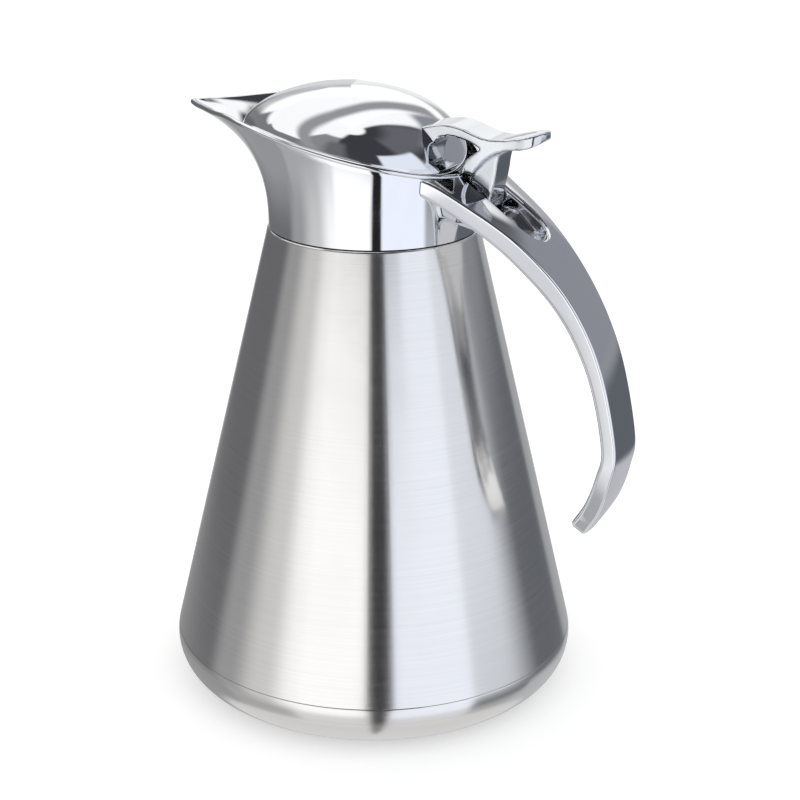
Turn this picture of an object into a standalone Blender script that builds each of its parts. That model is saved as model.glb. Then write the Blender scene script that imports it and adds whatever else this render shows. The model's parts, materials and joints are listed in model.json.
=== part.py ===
"""Conical vacuum pouring jug with a hinged, lever-operated lid.

Metres, +Z up. The spout points along -X and the handle along +X. The model is
built round the jug's own axis and then moved so that the middle of its
bounding box's bottom is at the origin.
"""

import math

import bmesh
import bpy
from mathutils import Matrix, Vector

# ---------------------------------------------------------------- sizes
FIT = 0.0003  # gap between pieces that touch

# Body
BASE_RADIUS = 0.0700  # widest point of the cone
CORNER_RADIUS = 0.0139  # lower rounded band
FOOT_WIDTH = 0.0055  # flat ring that the jug stands on
SHOULDER_RADIUS = 0.0352  # top of the cone
SHOULDER_Z = 0.1607  # height of the seam under the collar
SHELL_WALL = 0.0010
LINER_WALL = 0.0008
VACUUM_GAP = 0.0055  # between shell and liner
NECK_RADIUS = 0.0270  # inside of the mouth
NECK_HEIGHT = 0.0115  # mouth above the seam
UNDERSIDE_RISE = 0.0040
DISC_RADIUS = 0.0200

# Collar and spout
COLLAR_RADIUS = 0.0349
COLLAR_WALL = 0.0012
BEAD_RADIUS = 0.0009  # rolled rim
SPOUT_REACH = 0.0706
SPOUT_RISE = 0.0341  # spout tip above the seam
RIM_REAR_RISE = 0.0208  # rim above the seam at the handle
SPOUT_FLARE = 2.5  # exponent of the trumpet curve

# Neck adapter
ADAPTER_LIP_RADIUS = 0.0258
ADAPTER_WEB_RADIUS = 0.0304
ADAPTER_TOP = 0.0157  # above the seam
GASKET_HEIGHT = 0.0016

# Handle
HANDLE_WALL = 0.0062  # thickness where it leaves the collar
HANDLE_YOKE_WIDTH = 0.0460
HANDLE_GRIP_WIDTH = 0.0194
HANDLE_END_WIDTH = 0.0148
HANDLE_REACH = 0.0570  # outermost point, out from the collar
HANDLE_DROP = 0.0935  # free end below the seam
BOSS_WIDTH = 0.0290  # thicker middle that holds the hinge and the screws
BOSS_DEPTH = 0.0045
SLOT_WIDTH = 0.0144
SLOT_END = 0.0262  # far end of the lever pocket, out from the collar

# Handle screws
SCREW_ANGLE = math.radians(20.0)
SCREW_Z = 0.0098  # above the seam
SCREW_RADIUS = 0.0014
SCREW_HEAD_RADIUS = 0.0026
SCREW_HEAD_HEIGHT = 0.0016
SCREW_LENGTH = 0.0066
WASHER_HEIGHT = 0.0006

# Hinge
HINGE_OUT = 0.0057  # hinge axis out from the collar
HINGE_RISE = 0.0131  # hinge axis above the seam
PIN_RADIUS = 0.0015
PIN_LENGTH = 0.0264
BUSH_WALL = 0.0005
BUSH_FLANGE = 0.0008
KNUCKLE_RADIUS = 0.0037
KNUCKLE_WIDTH = 0.0116

# Lid
LID_WALL = 0.0010
LID_RISE = 0.0458  # dome's top above the seam
LID_APEX_X = -0.0100
LID_FRONT = 0.0430  # front edge, out from the jug's axis
LID_RIM_GAP = 0.0009  # between lid and rolled rim
LID_SWING_ROOM = 0.0026  # more of that gap at the hinge, where the lid swings back
LID_DROP = 0.0020  # foot of the dome below the rim
LID_LIP = 0.0010  # straight lip under the dome
PAN_WALL = 0.0018
STOPPER_RADIUS = 0.0240
STOPPER_BOTTOM = 0.0073  # above the seam
SEAL_WIDTH = 0.0009
SEAL_HEIGHT = 0.0018
FOAM_GAP = 0.0026  # between dome and foam

# Lever
LEVER_WIDTH = 0.0150
PADDLE_WIDTH = 0.0120
PADDLE_OUT = 0.0210  # paddle's tip out from the hinge
WEB_WIDTH = 0.0084
LEVER_SCREW_RADIUS = 0.0013
LEVER_SCREW_HEAD = 0.0024
LEVER_SCREW_SPACING = 0.0076

ROUND = 48  # segments of the large turned pieces
FINE = 16  # segments of the small turned pieces

# ---------------------------------------------------------------- derived places
COLLAR_BOTTOM = SHOULDER_Z + FIT
HINGE = Vector((COLLAR_RADIUS + HINGE_OUT, 0.0, SHOULDER_Z + HINGE_RISE))
SCALE = COLLAR_RADIUS / 0.0349  # the collar's plan follows its radius


# ---------------------------------------------------------------- helpers
def clear_scene():
    for item in list(bpy.data.objects):
        bpy.data.objects.remove(item, do_unlink=True)


def collection(name):
    made = bpy.data.collections.new(name)
    bpy.context.scene.collection.children.link(made)
    return made


def material(name, colour, roughness, metallic):
    made = bpy.data.materials.new(name)
    made.use_nodes = True
    shader = made.node_tree.nodes["Principled BSDF"]
    shader.inputs["Base Color"].default_value = (*colour, 1.0)
    shader.inputs["Roughness"].default_value = roughness
    shader.inputs["Metallic"].default_value = metallic
    made.diffuse_color = (*colour, 1.0)
    return made


def add_object(name, bm, look, group):
    """Turns a bmesh into a closed, outward-facing, smooth-shaded object."""
    bmesh.ops.remove_doubles(bm, verts=bm.verts, dist=1e-6)
    bmesh.ops.recalc_face_normals(bm, faces=bm.faces)
    mesh = bpy.data.meshes.new(name)
    bm.to_mesh(mesh)
    bm.free()
    mesh.shade_smooth()
    mesh.set_sharp_from_angle(angle=math.radians(35))
    made = bpy.data.objects.new(name, mesh)
    group.objects.link(made)
    if look:
        mesh.materials.append(look)
    else:
        made.hide_render = True
        made.display_type = "WIRE"
    return made


def turned(name, profile, look, group, steps=ROUND, closed=True, axis_x=0.0):
    """Turns a profile of (radius, height) points about +Z with a Screw modifier."""
    bm = bmesh.new()
    verts = [bm.verts.new((r, 0.0, z)) for r, z in profile]
    pairs = list(zip(verts, verts[1:]))
    if closed:
        pairs.append((verts[-1], verts[0]))
    for a, b in pairs:
        bm.edges.new((a, b))
    mesh = bpy.data.meshes.new(name + "_profile")
    bm.to_mesh(mesh)
    bm.free()
    guide = bpy.data.objects.new(name + "_profile", mesh)
    group.objects.link(guide)
    screw = guide.modifiers.new("Turn", "SCREW")
    screw.steps = steps
    screw.render_steps = steps
    screw.use_merge_vertices = True
    screw.merge_threshold = 0.00001
    bpy.context.view_layer.update()
    graph = bpy.context.evaluated_depsgraph_get()
    solid = bpy.data.meshes.new_from_object(guide.evaluated_get(graph))
    bpy.data.objects.remove(guide, do_unlink=True)
    bm = bmesh.new()
    bm.from_mesh(solid)
    bpy.data.meshes.remove(solid)
    bmesh.ops.translate(bm, verts=bm.verts, vec=(axis_x, 0.0, 0.0))
    return add_object(name, bm, look, group)


def arc(centre, radius, start, end, steps):
    """Points (r, z) along an arc, angles in degrees from +r towards +z."""
    points = []
    for i in range(steps + 1):
        angle = math.radians(start + (end - start) * i / steps)
        points.append(
            (centre[0] + radius * math.cos(angle), centre[1] + radius * math.sin(angle))
        )
    return points


def rod(name, start, end, radius, look, group, segments=FINE, other_radius=None):
    """A cylinder or cone between two points."""
    start, end = Vector(start), Vector(end)
    along = end - start
    turn = along.to_track_quat("Z", "Y").to_matrix().to_4x4()
    bm = bmesh.new()
    bmesh.ops.create_cone(
        bm,
        cap_ends=True,
        segments=segments,
        radius1=radius,
        radius2=radius if other_radius is None else other_radius,
        depth=along.length,
        matrix=Matrix.Translation((start + end) / 2) @ turn,
    )
    return add_object(name, bm, look, group)


def tube(name, start, end, outer, inner, look, group, flange=None):
    """A plain bush along +Y or a washer, turned about its own axis."""
    start, end = Vector(start), Vector(end)
    along = end - start
    length = along.length
    profile = [(outer, length), (outer, 0.0), (inner, 0.0), (inner, length)]
    if flange:
        radius, thick = flange
        profile = [
            (outer, length - thick),
            (outer, 0.0),
            (inner, 0.0),
            (inner, length),
            (radius, length),
            (radius, length - thick),
        ]
    made = turned(name, profile, look, group, steps=FINE)
    turn = along.to_track_quat("Z", "Y").to_matrix().to_4x4()
    made.matrix_world = Matrix.Translation(start) @ turn
    return made


def loft(name, rings, look, group, start=None, end=None, closed=False):
    """Skins rings of equal length; start and end close it to a point each."""
    bm = bmesh.new()
    rows = [[bm.verts.new(p) for p in ring] for ring in rings]
    count = len(rows[0])
    pairs = list(zip(rows, rows[1:]))
    if closed:
        pairs.append((rows[-1], rows[0]))
    for low, high in pairs:
        for i in range(count):
            j = (i + 1) % count
            bm.faces.new((low[i], low[j], high[j], high[i]))
    for point, row in ((start, rows[0]), (end, rows[-1])):
        if point is None:
            if not closed:
                bm.faces.new(row)
            continue
        tip = bm.verts.new(point)
        for i in range(count):
            bm.faces.new((row[i], row[(i + 1) % count], tip))
    return add_object(name, bm, look, group)


def outline(name, points, width, look, group, bevel=0.0):
    """An (x, z) outline, filled and extruded to both sides of the XZ plane."""
    curve = bpy.data.curves.new(name, "CURVE")
    curve.dimensions = "2D"
    curve.fill_mode = "BOTH"
    curve.extrude = width / 2
    spline = curve.splines.new("POLY")
    spline.points.add(len(points) - 1)
    for point, (x, z) in zip(spline.points, points):
        point.co = (x, z, 0.0, 1.0)
    spline.use_cyclic_u = True
    guide = bpy.data.objects.new(name + "_outline", curve)
    guide.rotation_euler = (math.radians(90), 0.0, 0.0)
    group.objects.link(guide)
    bpy.context.view_layer.update()
    graph = bpy.context.evaluated_depsgraph_get()
    flat = bpy.data.meshes.new_from_object(guide.evaluated_get(graph))
    flat.transform(guide.matrix_world)
    bpy.data.objects.remove(guide, do_unlink=True)
    bm = bmesh.new()
    bm.from_mesh(flat)
    bpy.data.meshes.remove(flat)
    bmesh.ops.remove_doubles(bm, verts=bm.verts, dist=1e-6)
    bmesh.ops.dissolve_limit(
        bm, angle_limit=math.radians(1), verts=bm.verts, edges=bm.edges
    )
    made = add_object(name, bm, look, group)
    if bevel:
        edge = made.modifiers.new("Edges", "BEVEL")
        edge.width = bevel
        edge.segments = 2
        edge.limit_method = "ANGLE"
        edge.angle_limit = math.radians(50)
    return made


def combine(target, other, operation):
    step = target.modifiers.new(operation.title(), "BOOLEAN")
    step.operation = operation
    step.object = other
    step.solver = "EXACT"


def smooth_path(points, samples):
    """Catmull-Rom through the points, evenly sampled by control span."""
    points = [Vector(p) for p in points]
    points = [points[0] * 2 - points[1], *points, points[-1] * 2 - points[-2]]
    spans = len(points) - 3
    path = []
    for i in range(samples + 1):
        place = spans * i / samples
        k = min(int(place), spans - 1)
        t = place - k
        a, b, c, d = points[k : k + 4]
        path.append(
            0.5
            * (
                2 * b
                + (c - a) * t
                + (2 * a - 5 * b + 4 * c - d) * t * t
                + (3 * b - a - 3 * c + d) * t**3
            )
        )
    return path


def along(table, place):
    """Smooth interpolation in a table of (place, value), flat at its ends."""
    if place <= table[0][0]:
        return table[0][1]
    for k in range(len(table) - 1):
        (x0, y0), (x1, y1) = table[k], table[k + 1]
        if place <= x1:
            slopes = []
            for i in (k, k + 1):
                if 0 < i < len(table) - 1:
                    rise = table[i + 1][1] - table[i - 1][1]
                    slopes.append(rise / (table[i + 1][0] - table[i - 1][0]))
                else:
                    slopes.append(0.0)
            h = x1 - x0
            t = (place - x0) / h
            return (
                (2 * t**3 - 3 * t**2 + 1) * y0
                + (t**3 - 2 * t**2 + t) * h * slopes[0]
                + (3 * t**2 - 2 * t**3) * y1
                + (t**3 - t**2) * h * slopes[1]
            )
    return table[-1][1]


# ---------------------------------------------------------------- collar surface
def rim_reach(degrees):
    """Rim's distance from the jug's axis; 0 is the handle side, 180 the spout."""
    table = [
        (0, 0.0356 * SCALE),
        (60, 0.0360 * SCALE),
        (90, 0.0366 * SCALE),
        (115, 0.0400 * SCALE),
        (132, 0.0446 * SCALE),
        (147, 0.0484 * SCALE),
        (160, 0.0534 * SCALE),
        (170, 0.0600 * SCALE),
        (177, 0.0674 * SCALE),
        (180, SPOUT_REACH - BEAD_RADIUS / 2),
    ]
    return along(table, degrees)


def rim_height(degrees):
    """Rim's height: level along the spout, falling towards the handle."""
    rear = SHOULDER_Z + RIM_REAR_RISE
    tip = SHOULDER_Z + SPOUT_RISE
    table = [
        (0, rear),
        (30, rear + 0.0016),
        (60, rear + 0.0054),
        (90, rear + 0.0092),
        (117, tip - 0.0006),
        (132, tip + 0.0014),
        (147, tip + 0.0020),
        (162, tip + 0.0008),
        (180, tip),
    ]
    return along(table, degrees)


def collar_section(degrees, share):
    """(radius, height) of the collar's outer face, share 0 at the seam, 1 at the rim."""
    reach, height = rim_reach(degrees), rim_height(degrees)
    radius = COLLAR_RADIUS + (reach - COLLAR_RADIUS) * share**SPOUT_FLARE
    return radius, COLLAR_BOTTOM + (height - COLLAR_BOTTOM) * share


def collar_normal(degrees, share):
    low = collar_section(degrees, max(share - 0.02, 0.0))
    high = collar_section(degrees, min(share + 0.02, 1.0))
    dr, dz = high[0] - low[0], high[1] - low[1]
    size = math.hypot(dr, dz)
    return dz / size, -dr / size


def polar(radius, degrees, z):
    angle = math.radians(degrees)
    return Vector((radius * math.cos(angle), radius * math.sin(angle), z))


def plan_angles(half):
    """Angles round the plan, closer together towards the spout's tip."""
    side = [180 * (1 - (1 - i / half) ** 1.45) for i in range(half + 1)]
    return side + [360 - a for a in side[-2:0:-1]]


def fold(degrees):
    return degrees if degrees <= 180 else 360 - degrees


SHARES = (0.0, 0.22, 0.42, 0.6, 0.74, 0.86, 0.95)


def build_collar(look, group):
    rings = []
    angles = plan_angles(28)
    for share in SHARES:
        ring = []
        for a in angles:
            r, z = collar_section(fold(a), share)
            ring.append(polar(r, a, z))
        rings.append(ring)
    for turn in (-60, 0, 60, 120, 180):
        ring = []
        for a in angles:
            r, z = collar_section(fold(a), 1.0)
            nr, nz = collar_normal(fold(a), 1.0)
            # The bead's circle is centred in the wall and turns from the outer face.
            cr, cz = r - nr * BEAD_RADIUS * 0.6, z - nz * BEAD_RADIUS * 0.6
            s, c = math.sin(math.radians(turn)), math.cos(math.radians(turn))
            tr, tz = -nz, nr
            r = cr + BEAD_RADIUS * (c * nr + s * tr)
            z = cz + BEAD_RADIUS * (c * nz + s * tz)
            ring.append(polar(r, a, z))
        rings.append(ring)
    for share in reversed(SHARES[:-1]):
        ring = []
        for a in angles:
            r, z = collar_section(fold(a), share)
            nr, nz = collar_normal(fold(a), share) if share else (1.0, 0.0)
            ring.append(polar(r - nr * COLLAR_WALL, a, z - nz * COLLAR_WALL))
        rings.append(ring)
    return loft("spout_collar", rings, look, group, closed=True)


def build_collar_cutter(group):
    """The space that the collar takes up, with the gap to the handle round it."""
    levels = [-0.02, 0.0, 0.1, 0.25, 0.4, 0.55, 0.7, 0.82, 0.90]
    rings = []
    for share in levels:
        ring = []
        for a in plan_angles(28):
            r, z = collar_section(fold(a), max(share, 0.0))
            z += min(share, 0.0)
            ring.append(polar(r + FIT, a, z))
        rings.append(ring)
    for lift in (-0.0004, 0.0300):
        ring = []
        for a in plan_angles(28):
            r, z = collar_section(fold(a), 1.0)
            ring.append(polar(r + BEAD_RADIUS * 0.4 + FIT, a, z + lift))
        rings.append(ring)
    return loft("collar_cutter", rings, None, group)


# ---------------------------------------------------------------- body
def cone_radius(z):
    """Outer radius of the shell's straight wall."""
    low_r, low_z = BASE_RADIUS, CORNER_RADIUS
    share = (z - low_z) / (SHOULDER_Z - low_z)
    return low_r + (SHOULDER_RADIUS - low_r) * share


def build_body(looks, group):
    steel, polished = looks["steel"], looks["polished"]
    slope = math.degrees(
        math.atan2(BASE_RADIUS - SHOULDER_RADIUS, SHOULDER_Z - CORNER_RADIUS)
    )
    centre = (BASE_RADIUS - CORNER_RADIUS, CORNER_RADIUS)
    seam = arc(centre, CORNER_RADIUS, slope, slope, 1)[0]
    sleeve = NECK_RADIUS + LINER_WALL + FIT
    mouth = SHOULDER_Z + NECK_HEIGHT
    # Outer shell: shoulder corner, cone, and back up the inside.
    outer = [
        (sleeve + SHELL_WALL, mouth),
        (sleeve + SHELL_WALL, SHOULDER_Z + 0.0012),
        (sleeve + SHELL_WALL + 0.0012, SHOULDER_Z),
        (SHOULDER_RADIUS - 0.0010, SHOULDER_Z),
        (SHOULDER_RADIUS - 0.0002, SHOULDER_Z - 0.0003),
        (SHOULDER_RADIUS + 0.0001, SHOULDER_Z - 0.0010),
        (seam[0] + 0.0002, seam[1] + FIT / 2 + 0.0003),
        (seam[0], seam[1] + FIT / 2),
        (seam[0] - SHELL_WALL, seam[1] + FIT / 2),
        (SHOULDER_RADIUS - SHELL_WALL - 0.0006, SHOULDER_Z - SHELL_WALL - 0.0010),
        (SHOULDER_RADIUS - SHELL_WALL - 0.0014, SHOULDER_Z - SHELL_WALL),
        (sleeve + 0.0012, SHOULDER_Z - SHELL_WALL),
        (sleeve, SHOULDER_Z + 0.0002),
        (sleeve, mouth),
    ]
    turned("outer_shell", outer, steel, group)
    # Base cup: rounded band, foot ring, recessed underside.
    foot = BASE_RADIUS - CORNER_RADIUS
    rim = (seam[0], seam[1] - FIT / 2)
    band = arc(centre, CORNER_RADIUS, slope - 2.0, -90, 6)
    inner_band = arc(centre, CORNER_RADIUS - SHELL_WALL, -90, slope - 2.0, 6)
    inside = foot - FOOT_WIDTH
    base = [rim, *band]
    base += [
        (inside, 0.0),
        (inside - 0.0030, UNDERSIDE_RISE),
        (0.0, UNDERSIDE_RISE),
        (0.0, UNDERSIDE_RISE + SHELL_WALL),
        (inside - 0.0022, UNDERSIDE_RISE + SHELL_WALL),
        (inside + 0.0012, SHELL_WALL),
        *inner_band,
        (rim[0] - SHELL_WALL, rim[1]),
    ]
    loop_base(base, "base_cup", steel, group)
    # Cover disc in the underside.
    disc_top = UNDERSIDE_RISE - FIT
    disc = [
        (0.0, disc_top),
        (DISC_RADIUS, disc_top),
        (DISC_RADIUS, disc_top - 0.0006),
        (DISC_RADIUS - 0.0008, disc_top - 0.0012),
        (0.0, disc_top - 0.0012),
    ]
    turned("base_disc", disc, polished, group, steps=32, closed=False)
    build_liner(looks, group, sleeve, mouth)


def loop_base(profile, name, look, group):
    """A profile whose two inner points lie on the axis, turned as one surface."""
    k = next(i for i, (r, z) in enumerate(profile) if r == 0.0)
    turned(name, profile[k + 1 :] + profile[: k + 1], look, group, closed=False)


def build_liner(looks, group, sleeve, mouth):
    gap = VACUUM_GAP + SHELL_WALL
    bottom = UNDERSIDE_RISE + SHELL_WALL + VACUUM_GAP
    knee = 0.0120
    low_z = bottom + knee
    low_r = cone_radius(low_z) - gap
    top_z = SHOULDER_Z - 0.0145
    top_r = cone_radius(top_z) - gap
    neck = NECK_RADIUS + LINER_WALL
    outer = [
        (neck, mouth),
        (neck, SHOULDER_Z - 0.0050),
        (neck + 0.0008, SHOULDER_Z - 0.0085),
        (top_r, top_z),
        (low_r, low_z),
        *arc((low_r - knee, low_z), knee, -15, -90, 3),
        (0.0, bottom),
    ]
    wall = LINER_WALL
    inner = [
        (0.0, bottom + wall),
        *arc((low_r - knee, low_z), knee - wall, -90, -15, 3),
        (low_r - wall, low_z),
        (top_r - wall, top_z),
        (neck + 0.0008 - wall, SHOULDER_Z - 0.0085),
        (NECK_RADIUS, SHOULDER_Z - 0.0050),
        (NECK_RADIUS, mouth),
    ]
    loop_base(outer + inner, "inner_flask", looks["steel"], group)
    # Getter can, welded under the liner.
    rod(
        "getter",
        (0.030, 0, bottom - FIT),
        (0.030, 0, bottom - FIT - 0.0030),
        0.0050,
        looks["steel"],
        group,
    )
    # Ring that closes the two necks.
    ring_z = mouth + FIT
    shell_out = sleeve + SHELL_WALL
    ring = [
        (shell_out, ring_z + 0.0004),
        (shell_out, ring_z),
        (NECK_RADIUS, ring_z),
        (NECK_RADIUS, ring_z + 0.0004),
        (NECK_RADIUS + 0.0004, ring_z + 0.0008),
        (shell_out - 0.0004, ring_z + 0.0008),
    ]
    turned("mouth_ring", ring, looks["steel"], group, steps=32)
    # Plastic adapter round the neck, with the pouring lip on top.
    bore = shell_out + FIT
    fill = COLLAR_RADIUS - COLLAR_WALL - FIT
    low = SHOULDER_Z + FIT
    top = SHOULDER_Z + ADAPTER_TOP
    groove = fill - 0.0014
    lip = ADAPTER_LIP_RADIUS
    adapter = [
        (fill, top - 0.0004),
        (fill, top - 0.0022),
        (ADAPTER_WEB_RADIUS, top - 0.0022),
        (ADAPTER_WEB_RADIUS, low + 0.0044),
        (fill, low + 0.0044),
        (fill, low + 0.0034),
        (groove, low + 0.0034),
        (groove, low + 0.0010),
        (fill, low + 0.0010),
        (fill, low),
        (bore + 0.0012, low),
        (bore, low + 0.0014),
        (bore, ring_z + 0.0008 + FIT),
        (lip, ring_z + 0.0008 + FIT),
        (lip, top - 0.0008),
        (lip + 0.0008, top),
        (fill - 0.0004, top),
    ]
    turned("neck_ring", adapter, looks["plastic"], group, steps=40)
    mid = low + 0.0022
    half = GASKET_HEIGHT / 2
    gasket = [
        (fill, mid + half - 0.0004),
        (fill, mid - half + 0.0004),
        (fill - 0.0004, mid - half),
        (groove + FIT, mid - half),
        (groove + FIT, mid + half),
        (fill - 0.0004, mid + half),
    ]
    turned("neck_gasket", gasket, looks["silicone"], group, steps=32)


# ---------------------------------------------------------------- handle
def handle_path():
    """Outer face of the handle in the XZ plane, from inside the collar to its end."""
    r, z = COLLAR_RADIUS, SHOULDER_Z
    reach = HANDLE_REACH
    drop = HANDLE_DROP
    points = [
        (r - 0.0190, 0, z + 0.0240),
        (r - 0.0060, 0, z + 0.0226),
        (r + 0.0061, 0, z + 0.0163),
        (r + 0.0245, 0, z + 0.0037),
        (r + 0.0400, 0, z - 0.0133),
        (r + 0.0506, 0, z - 0.0340),
        (r + reach, 0, z - drop * 0.649),
        (r + reach - 0.0011, 0, z - drop * 0.778),
        (r + reach - 0.0044, 0, z - drop * 0.895),
        (r + reach - 0.0102, 0, z - drop),
    ]
    return smooth_path(points, 27)


def build_handle(look, group, cutters):
    path = handle_path()
    widths = [
        (0.0, HANDLE_YOKE_WIDTH),
        (0.18, HANDLE_YOKE_WIDTH - 0.0045),
        (0.33, 0.0300),
        (0.45, 0.0222),
        (0.60, HANDLE_GRIP_WIDTH),
        (0.80, HANDLE_GRIP_WIDTH),
        (0.91, HANDLE_GRIP_WIDTH - 0.0016),
        (1.0, HANDLE_END_WIDTH),
    ]
    walls = [
        (0.0, HANDLE_WALL),
        (0.22, HANDLE_WALL),
        (0.36, HANDLE_WALL + 0.0009),
        (0.50, HANDLE_WALL + 0.0002),
        (0.60, HANDLE_WALL - 0.0006),
        (0.72, HANDLE_WALL - 0.0004),
        (0.86, HANDLE_WALL + 0.0001),
        (1.0, HANDLE_WALL + 0.0001),
    ]
    bosses = [(0.0, BOSS_DEPTH), (0.20, BOSS_DEPTH), (0.31, 0.0), (1.0, 0.0)]
    rings = []
    last = len(path) - 1
    for i, point in enumerate(path):
        share = i / last
        ahead = path[min(i + 1, last)] - path[max(i - 1, 0)]
        ahead.normalize()
        out = Vector((-ahead.z, 0.0, ahead.x))
        if out.z < 0 and share < 0.5:
            out = -out
        half = along(widths, share) / 2
        thick = along(walls, share)
        boss = along(bosses, share)
        shape = handle_section(half, thick, boss, share)
        rings.append([point + Vector((0, y, 0)) + out * v for y, v in shape])
    body = loft("handle", rings, look, group)
    combine(body, build_collar_cutter(cutters), "DIFFERENCE")
    # Pocket for the lever, from the collar to its rounded far end.
    hx, hz = HINGE.x, HINGE.z
    r, z = COLLAR_RADIUS, SHOULDER_Z
    floor = [
        (r - 0.0040, z + 0.0400),
        (r - 0.0040, hz - 0.0020),
        (hx - KNUCKLE_RADIUS - 0.0006, hz - 0.0025),
        (hx - 0.0026, hz - KNUCKLE_RADIUS - 0.0007),
        (hx + 0.0026, hz - KNUCKLE_RADIUS - 0.0007),
        (hx + 0.0080, hz - KNUCKLE_RADIUS - 0.0014),
        (r + SLOT_END - 0.0060, z + 0.0018),
        (r + SLOT_END - 0.0012, z + 0.0008),
        (r + SLOT_END, z + 0.0400),
    ]
    pocket = outline("pocket_cutter", floor, SLOT_WIDTH, None, cutters)
    plan_end = rod(
        "pocket_end_cutter",
        (r + SLOT_END - SLOT_WIDTH / 2, 0, z - 0.0300),
        (r + SLOT_END - SLOT_WIDTH / 2, 0, z + 0.0600),
        SLOT_WIDTH / 2,
        None,
        cutters,
        segments=32,
    )
    long_box = box(
        "pocket_length_cutter",
        (r - 0.0060, r + SLOT_END - SLOT_WIDTH / 2),
        (-SLOT_WIDTH / 2 - 0.0002, SLOT_WIDTH / 2 + 0.0002),
        (z - 0.0300, z + 0.0600),
        cutters,
    )
    combine(long_box, plan_end, "UNION")
    combine(pocket, long_box, "INTERSECT")
    combine(body, pocket, "DIFFERENCE")
    # Blind bore for the pin, wider at its mouth for the plug.
    blind = HINGE + Vector((0, -PIN_LENGTH / 2 - FIT, 0))
    mouth = HINGE + Vector((0, 0.030, 0))
    bore = rod("pin_bore_cutter", blind, mouth, PIN_RADIUS + FIT, None, cutters)
    combine(body, bore, "DIFFERENCE")
    for side in (-1, 1):
        start, end = screw_line(side, 0.0, SCREW_LENGTH + 2 * FIT)
        name = "screw_hole_cutter_" + ("right" if side < 0 else "left")
        hole = rod(name, start, end, SCREW_RADIUS + FIT, None, cutters)
        combine(body, hole, "DIFFERENCE")
    return body


def handle_section(half, thick, boss, share):
    """Cross-section points (y, out), with crisp outer edges and a middle boss."""
    top = 0.0010
    low = 0.0016
    crown = 0.0004
    mid = min(BOSS_WIDTH / 2, half - low - 0.0030)
    side = [(0.0, 0.0), (half * 0.5, -crown * 0.3)]
    for i in range(4):
        a = math.radians(90 - 30 * i)
        side.append(
            (half - top + top * math.cos(a), -crown - top + top * math.sin(a))
        )
    for i in range(4):
        a = math.radians(-30 * i)
        side.append((half - low + low * math.cos(a), -thick + low + low * math.sin(a)))
    side.append((mid + 0.0015, -thick))
    side.append((mid, -thick - boss))
    right = [(-y, v) for y, v in reversed(side) if y > 0]
    return side + [(0.0, -thick - boss)] + right


def box(name, xs, ys, zs, group):
    bm = bmesh.new()
    bmesh.ops.create_cube(bm, size=1.0)
    size = Vector((xs[1] - xs[0], ys[1] - ys[0], zs[1] - zs[0]))
    middle = Vector((sum(xs), sum(ys), sum(zs))) / 2
    bmesh.ops.scale(bm, vec=size, verts=bm.verts)
    bmesh.ops.translate(bm, vec=middle, verts=bm.verts)
    return add_object(name, bm, None, group)


def screw_line(side, start, end):
    """Two points on a handle screw's radial axis, measured out from the washer's seat."""
    angle = SCREW_ANGLE * side
    out = Vector((math.cos(angle), math.sin(angle), 0.0))
    seat = COLLAR_RADIUS - COLLAR_WALL - 2 * FIT
    base = Vector((0, 0, SHOULDER_Z + SCREW_Z))
    return base + out * (seat + start), base + out * (seat + end)


def build_fasteners(looks, group, collar, cutters):
    for side, name in ((-1, "right"), (1, "left")):
        start, end = screw_line(side, -WASHER_HEIGHT, 0.0)
        tube(
            "screw_washer_" + name,
            start,
            end,
            SCREW_HEAD_RADIUS + 0.0003,
            SCREW_RADIUS + FIT,
            looks["screw"],
            group,
        )
        under = -WASHER_HEIGHT - FIT
        head = [
            (SCREW_HEAD_RADIUS, under),
            (SCREW_HEAD_RADIUS, under - SCREW_HEAD_HEIGHT * 0.6),
            (SCREW_HEAD_RADIUS * 0.7, under - SCREW_HEAD_HEIGHT),
            (0.0, under - SCREW_HEAD_HEIGHT),
        ]
        shank = [
            (0.0, SCREW_LENGTH),
            (SCREW_RADIUS * 0.7, SCREW_LENGTH),
            (SCREW_RADIUS, SCREW_LENGTH - 0.0006),
            (SCREW_RADIUS, under),
        ]
        screw = turned(
            "handle_screw_" + name,
            shank + head,
            looks["screw"],
            group,
            steps=FINE,
            closed=False,
        )
        start, end = screw_line(side, 0.0, 1.0)
        turn = (end - start).to_track_quat("Z", "Y").to_matrix().to_4x4()
        screw.matrix_world = Matrix.Translation(start) @ turn
        start, end = screw_line(side, -0.003, COLLAR_WALL + 0.003)
        hole = rod(
            "collar_hole_cutter_" + name,
            start,
            end,
            SCREW_RADIUS + FIT,
            None,
            cutters,
        )
        combine(collar, hole, "DIFFERENCE")


def build_hinge(looks, group):
    half = PIN_LENGTH / 2
    rod(
        "hinge_pin",
        HINGE + Vector((0, -half, 0)),
        HINGE + Vector((0, half, 0)),
        PIN_RADIUS,
        looks["screw"],
        group,
    )
    # The plug ends just below the handle's side face.
    rod(
        "pin_plug",
        HINGE + Vector((0, half + FIT, 0)),
        HINGE + Vector((0, half + FIT + 0.0040, 0)),
        PIN_RADIUS,
        looks["polished"],
        group,
    )
    inner = KNUCKLE_WIDTH / 2 - 0.0050
    for side, name in ((-1, "right"), (1, "left")):
        start = HINGE + Vector((0, side * inner, 0))
        end = HINGE + Vector((0, side * (KNUCKLE_WIDTH / 2 + FIT + BUSH_FLANGE), 0))
        tube(
            "hinge_bush_" + name,
            start,
            end,
            PIN_RADIUS + FIT + BUSH_WALL,
            PIN_RADIUS + FIT,
            looks["plastic"],
            group,
            flange=(KNUCKLE_RADIUS - 0.0004, BUSH_FLANGE),
        )


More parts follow.
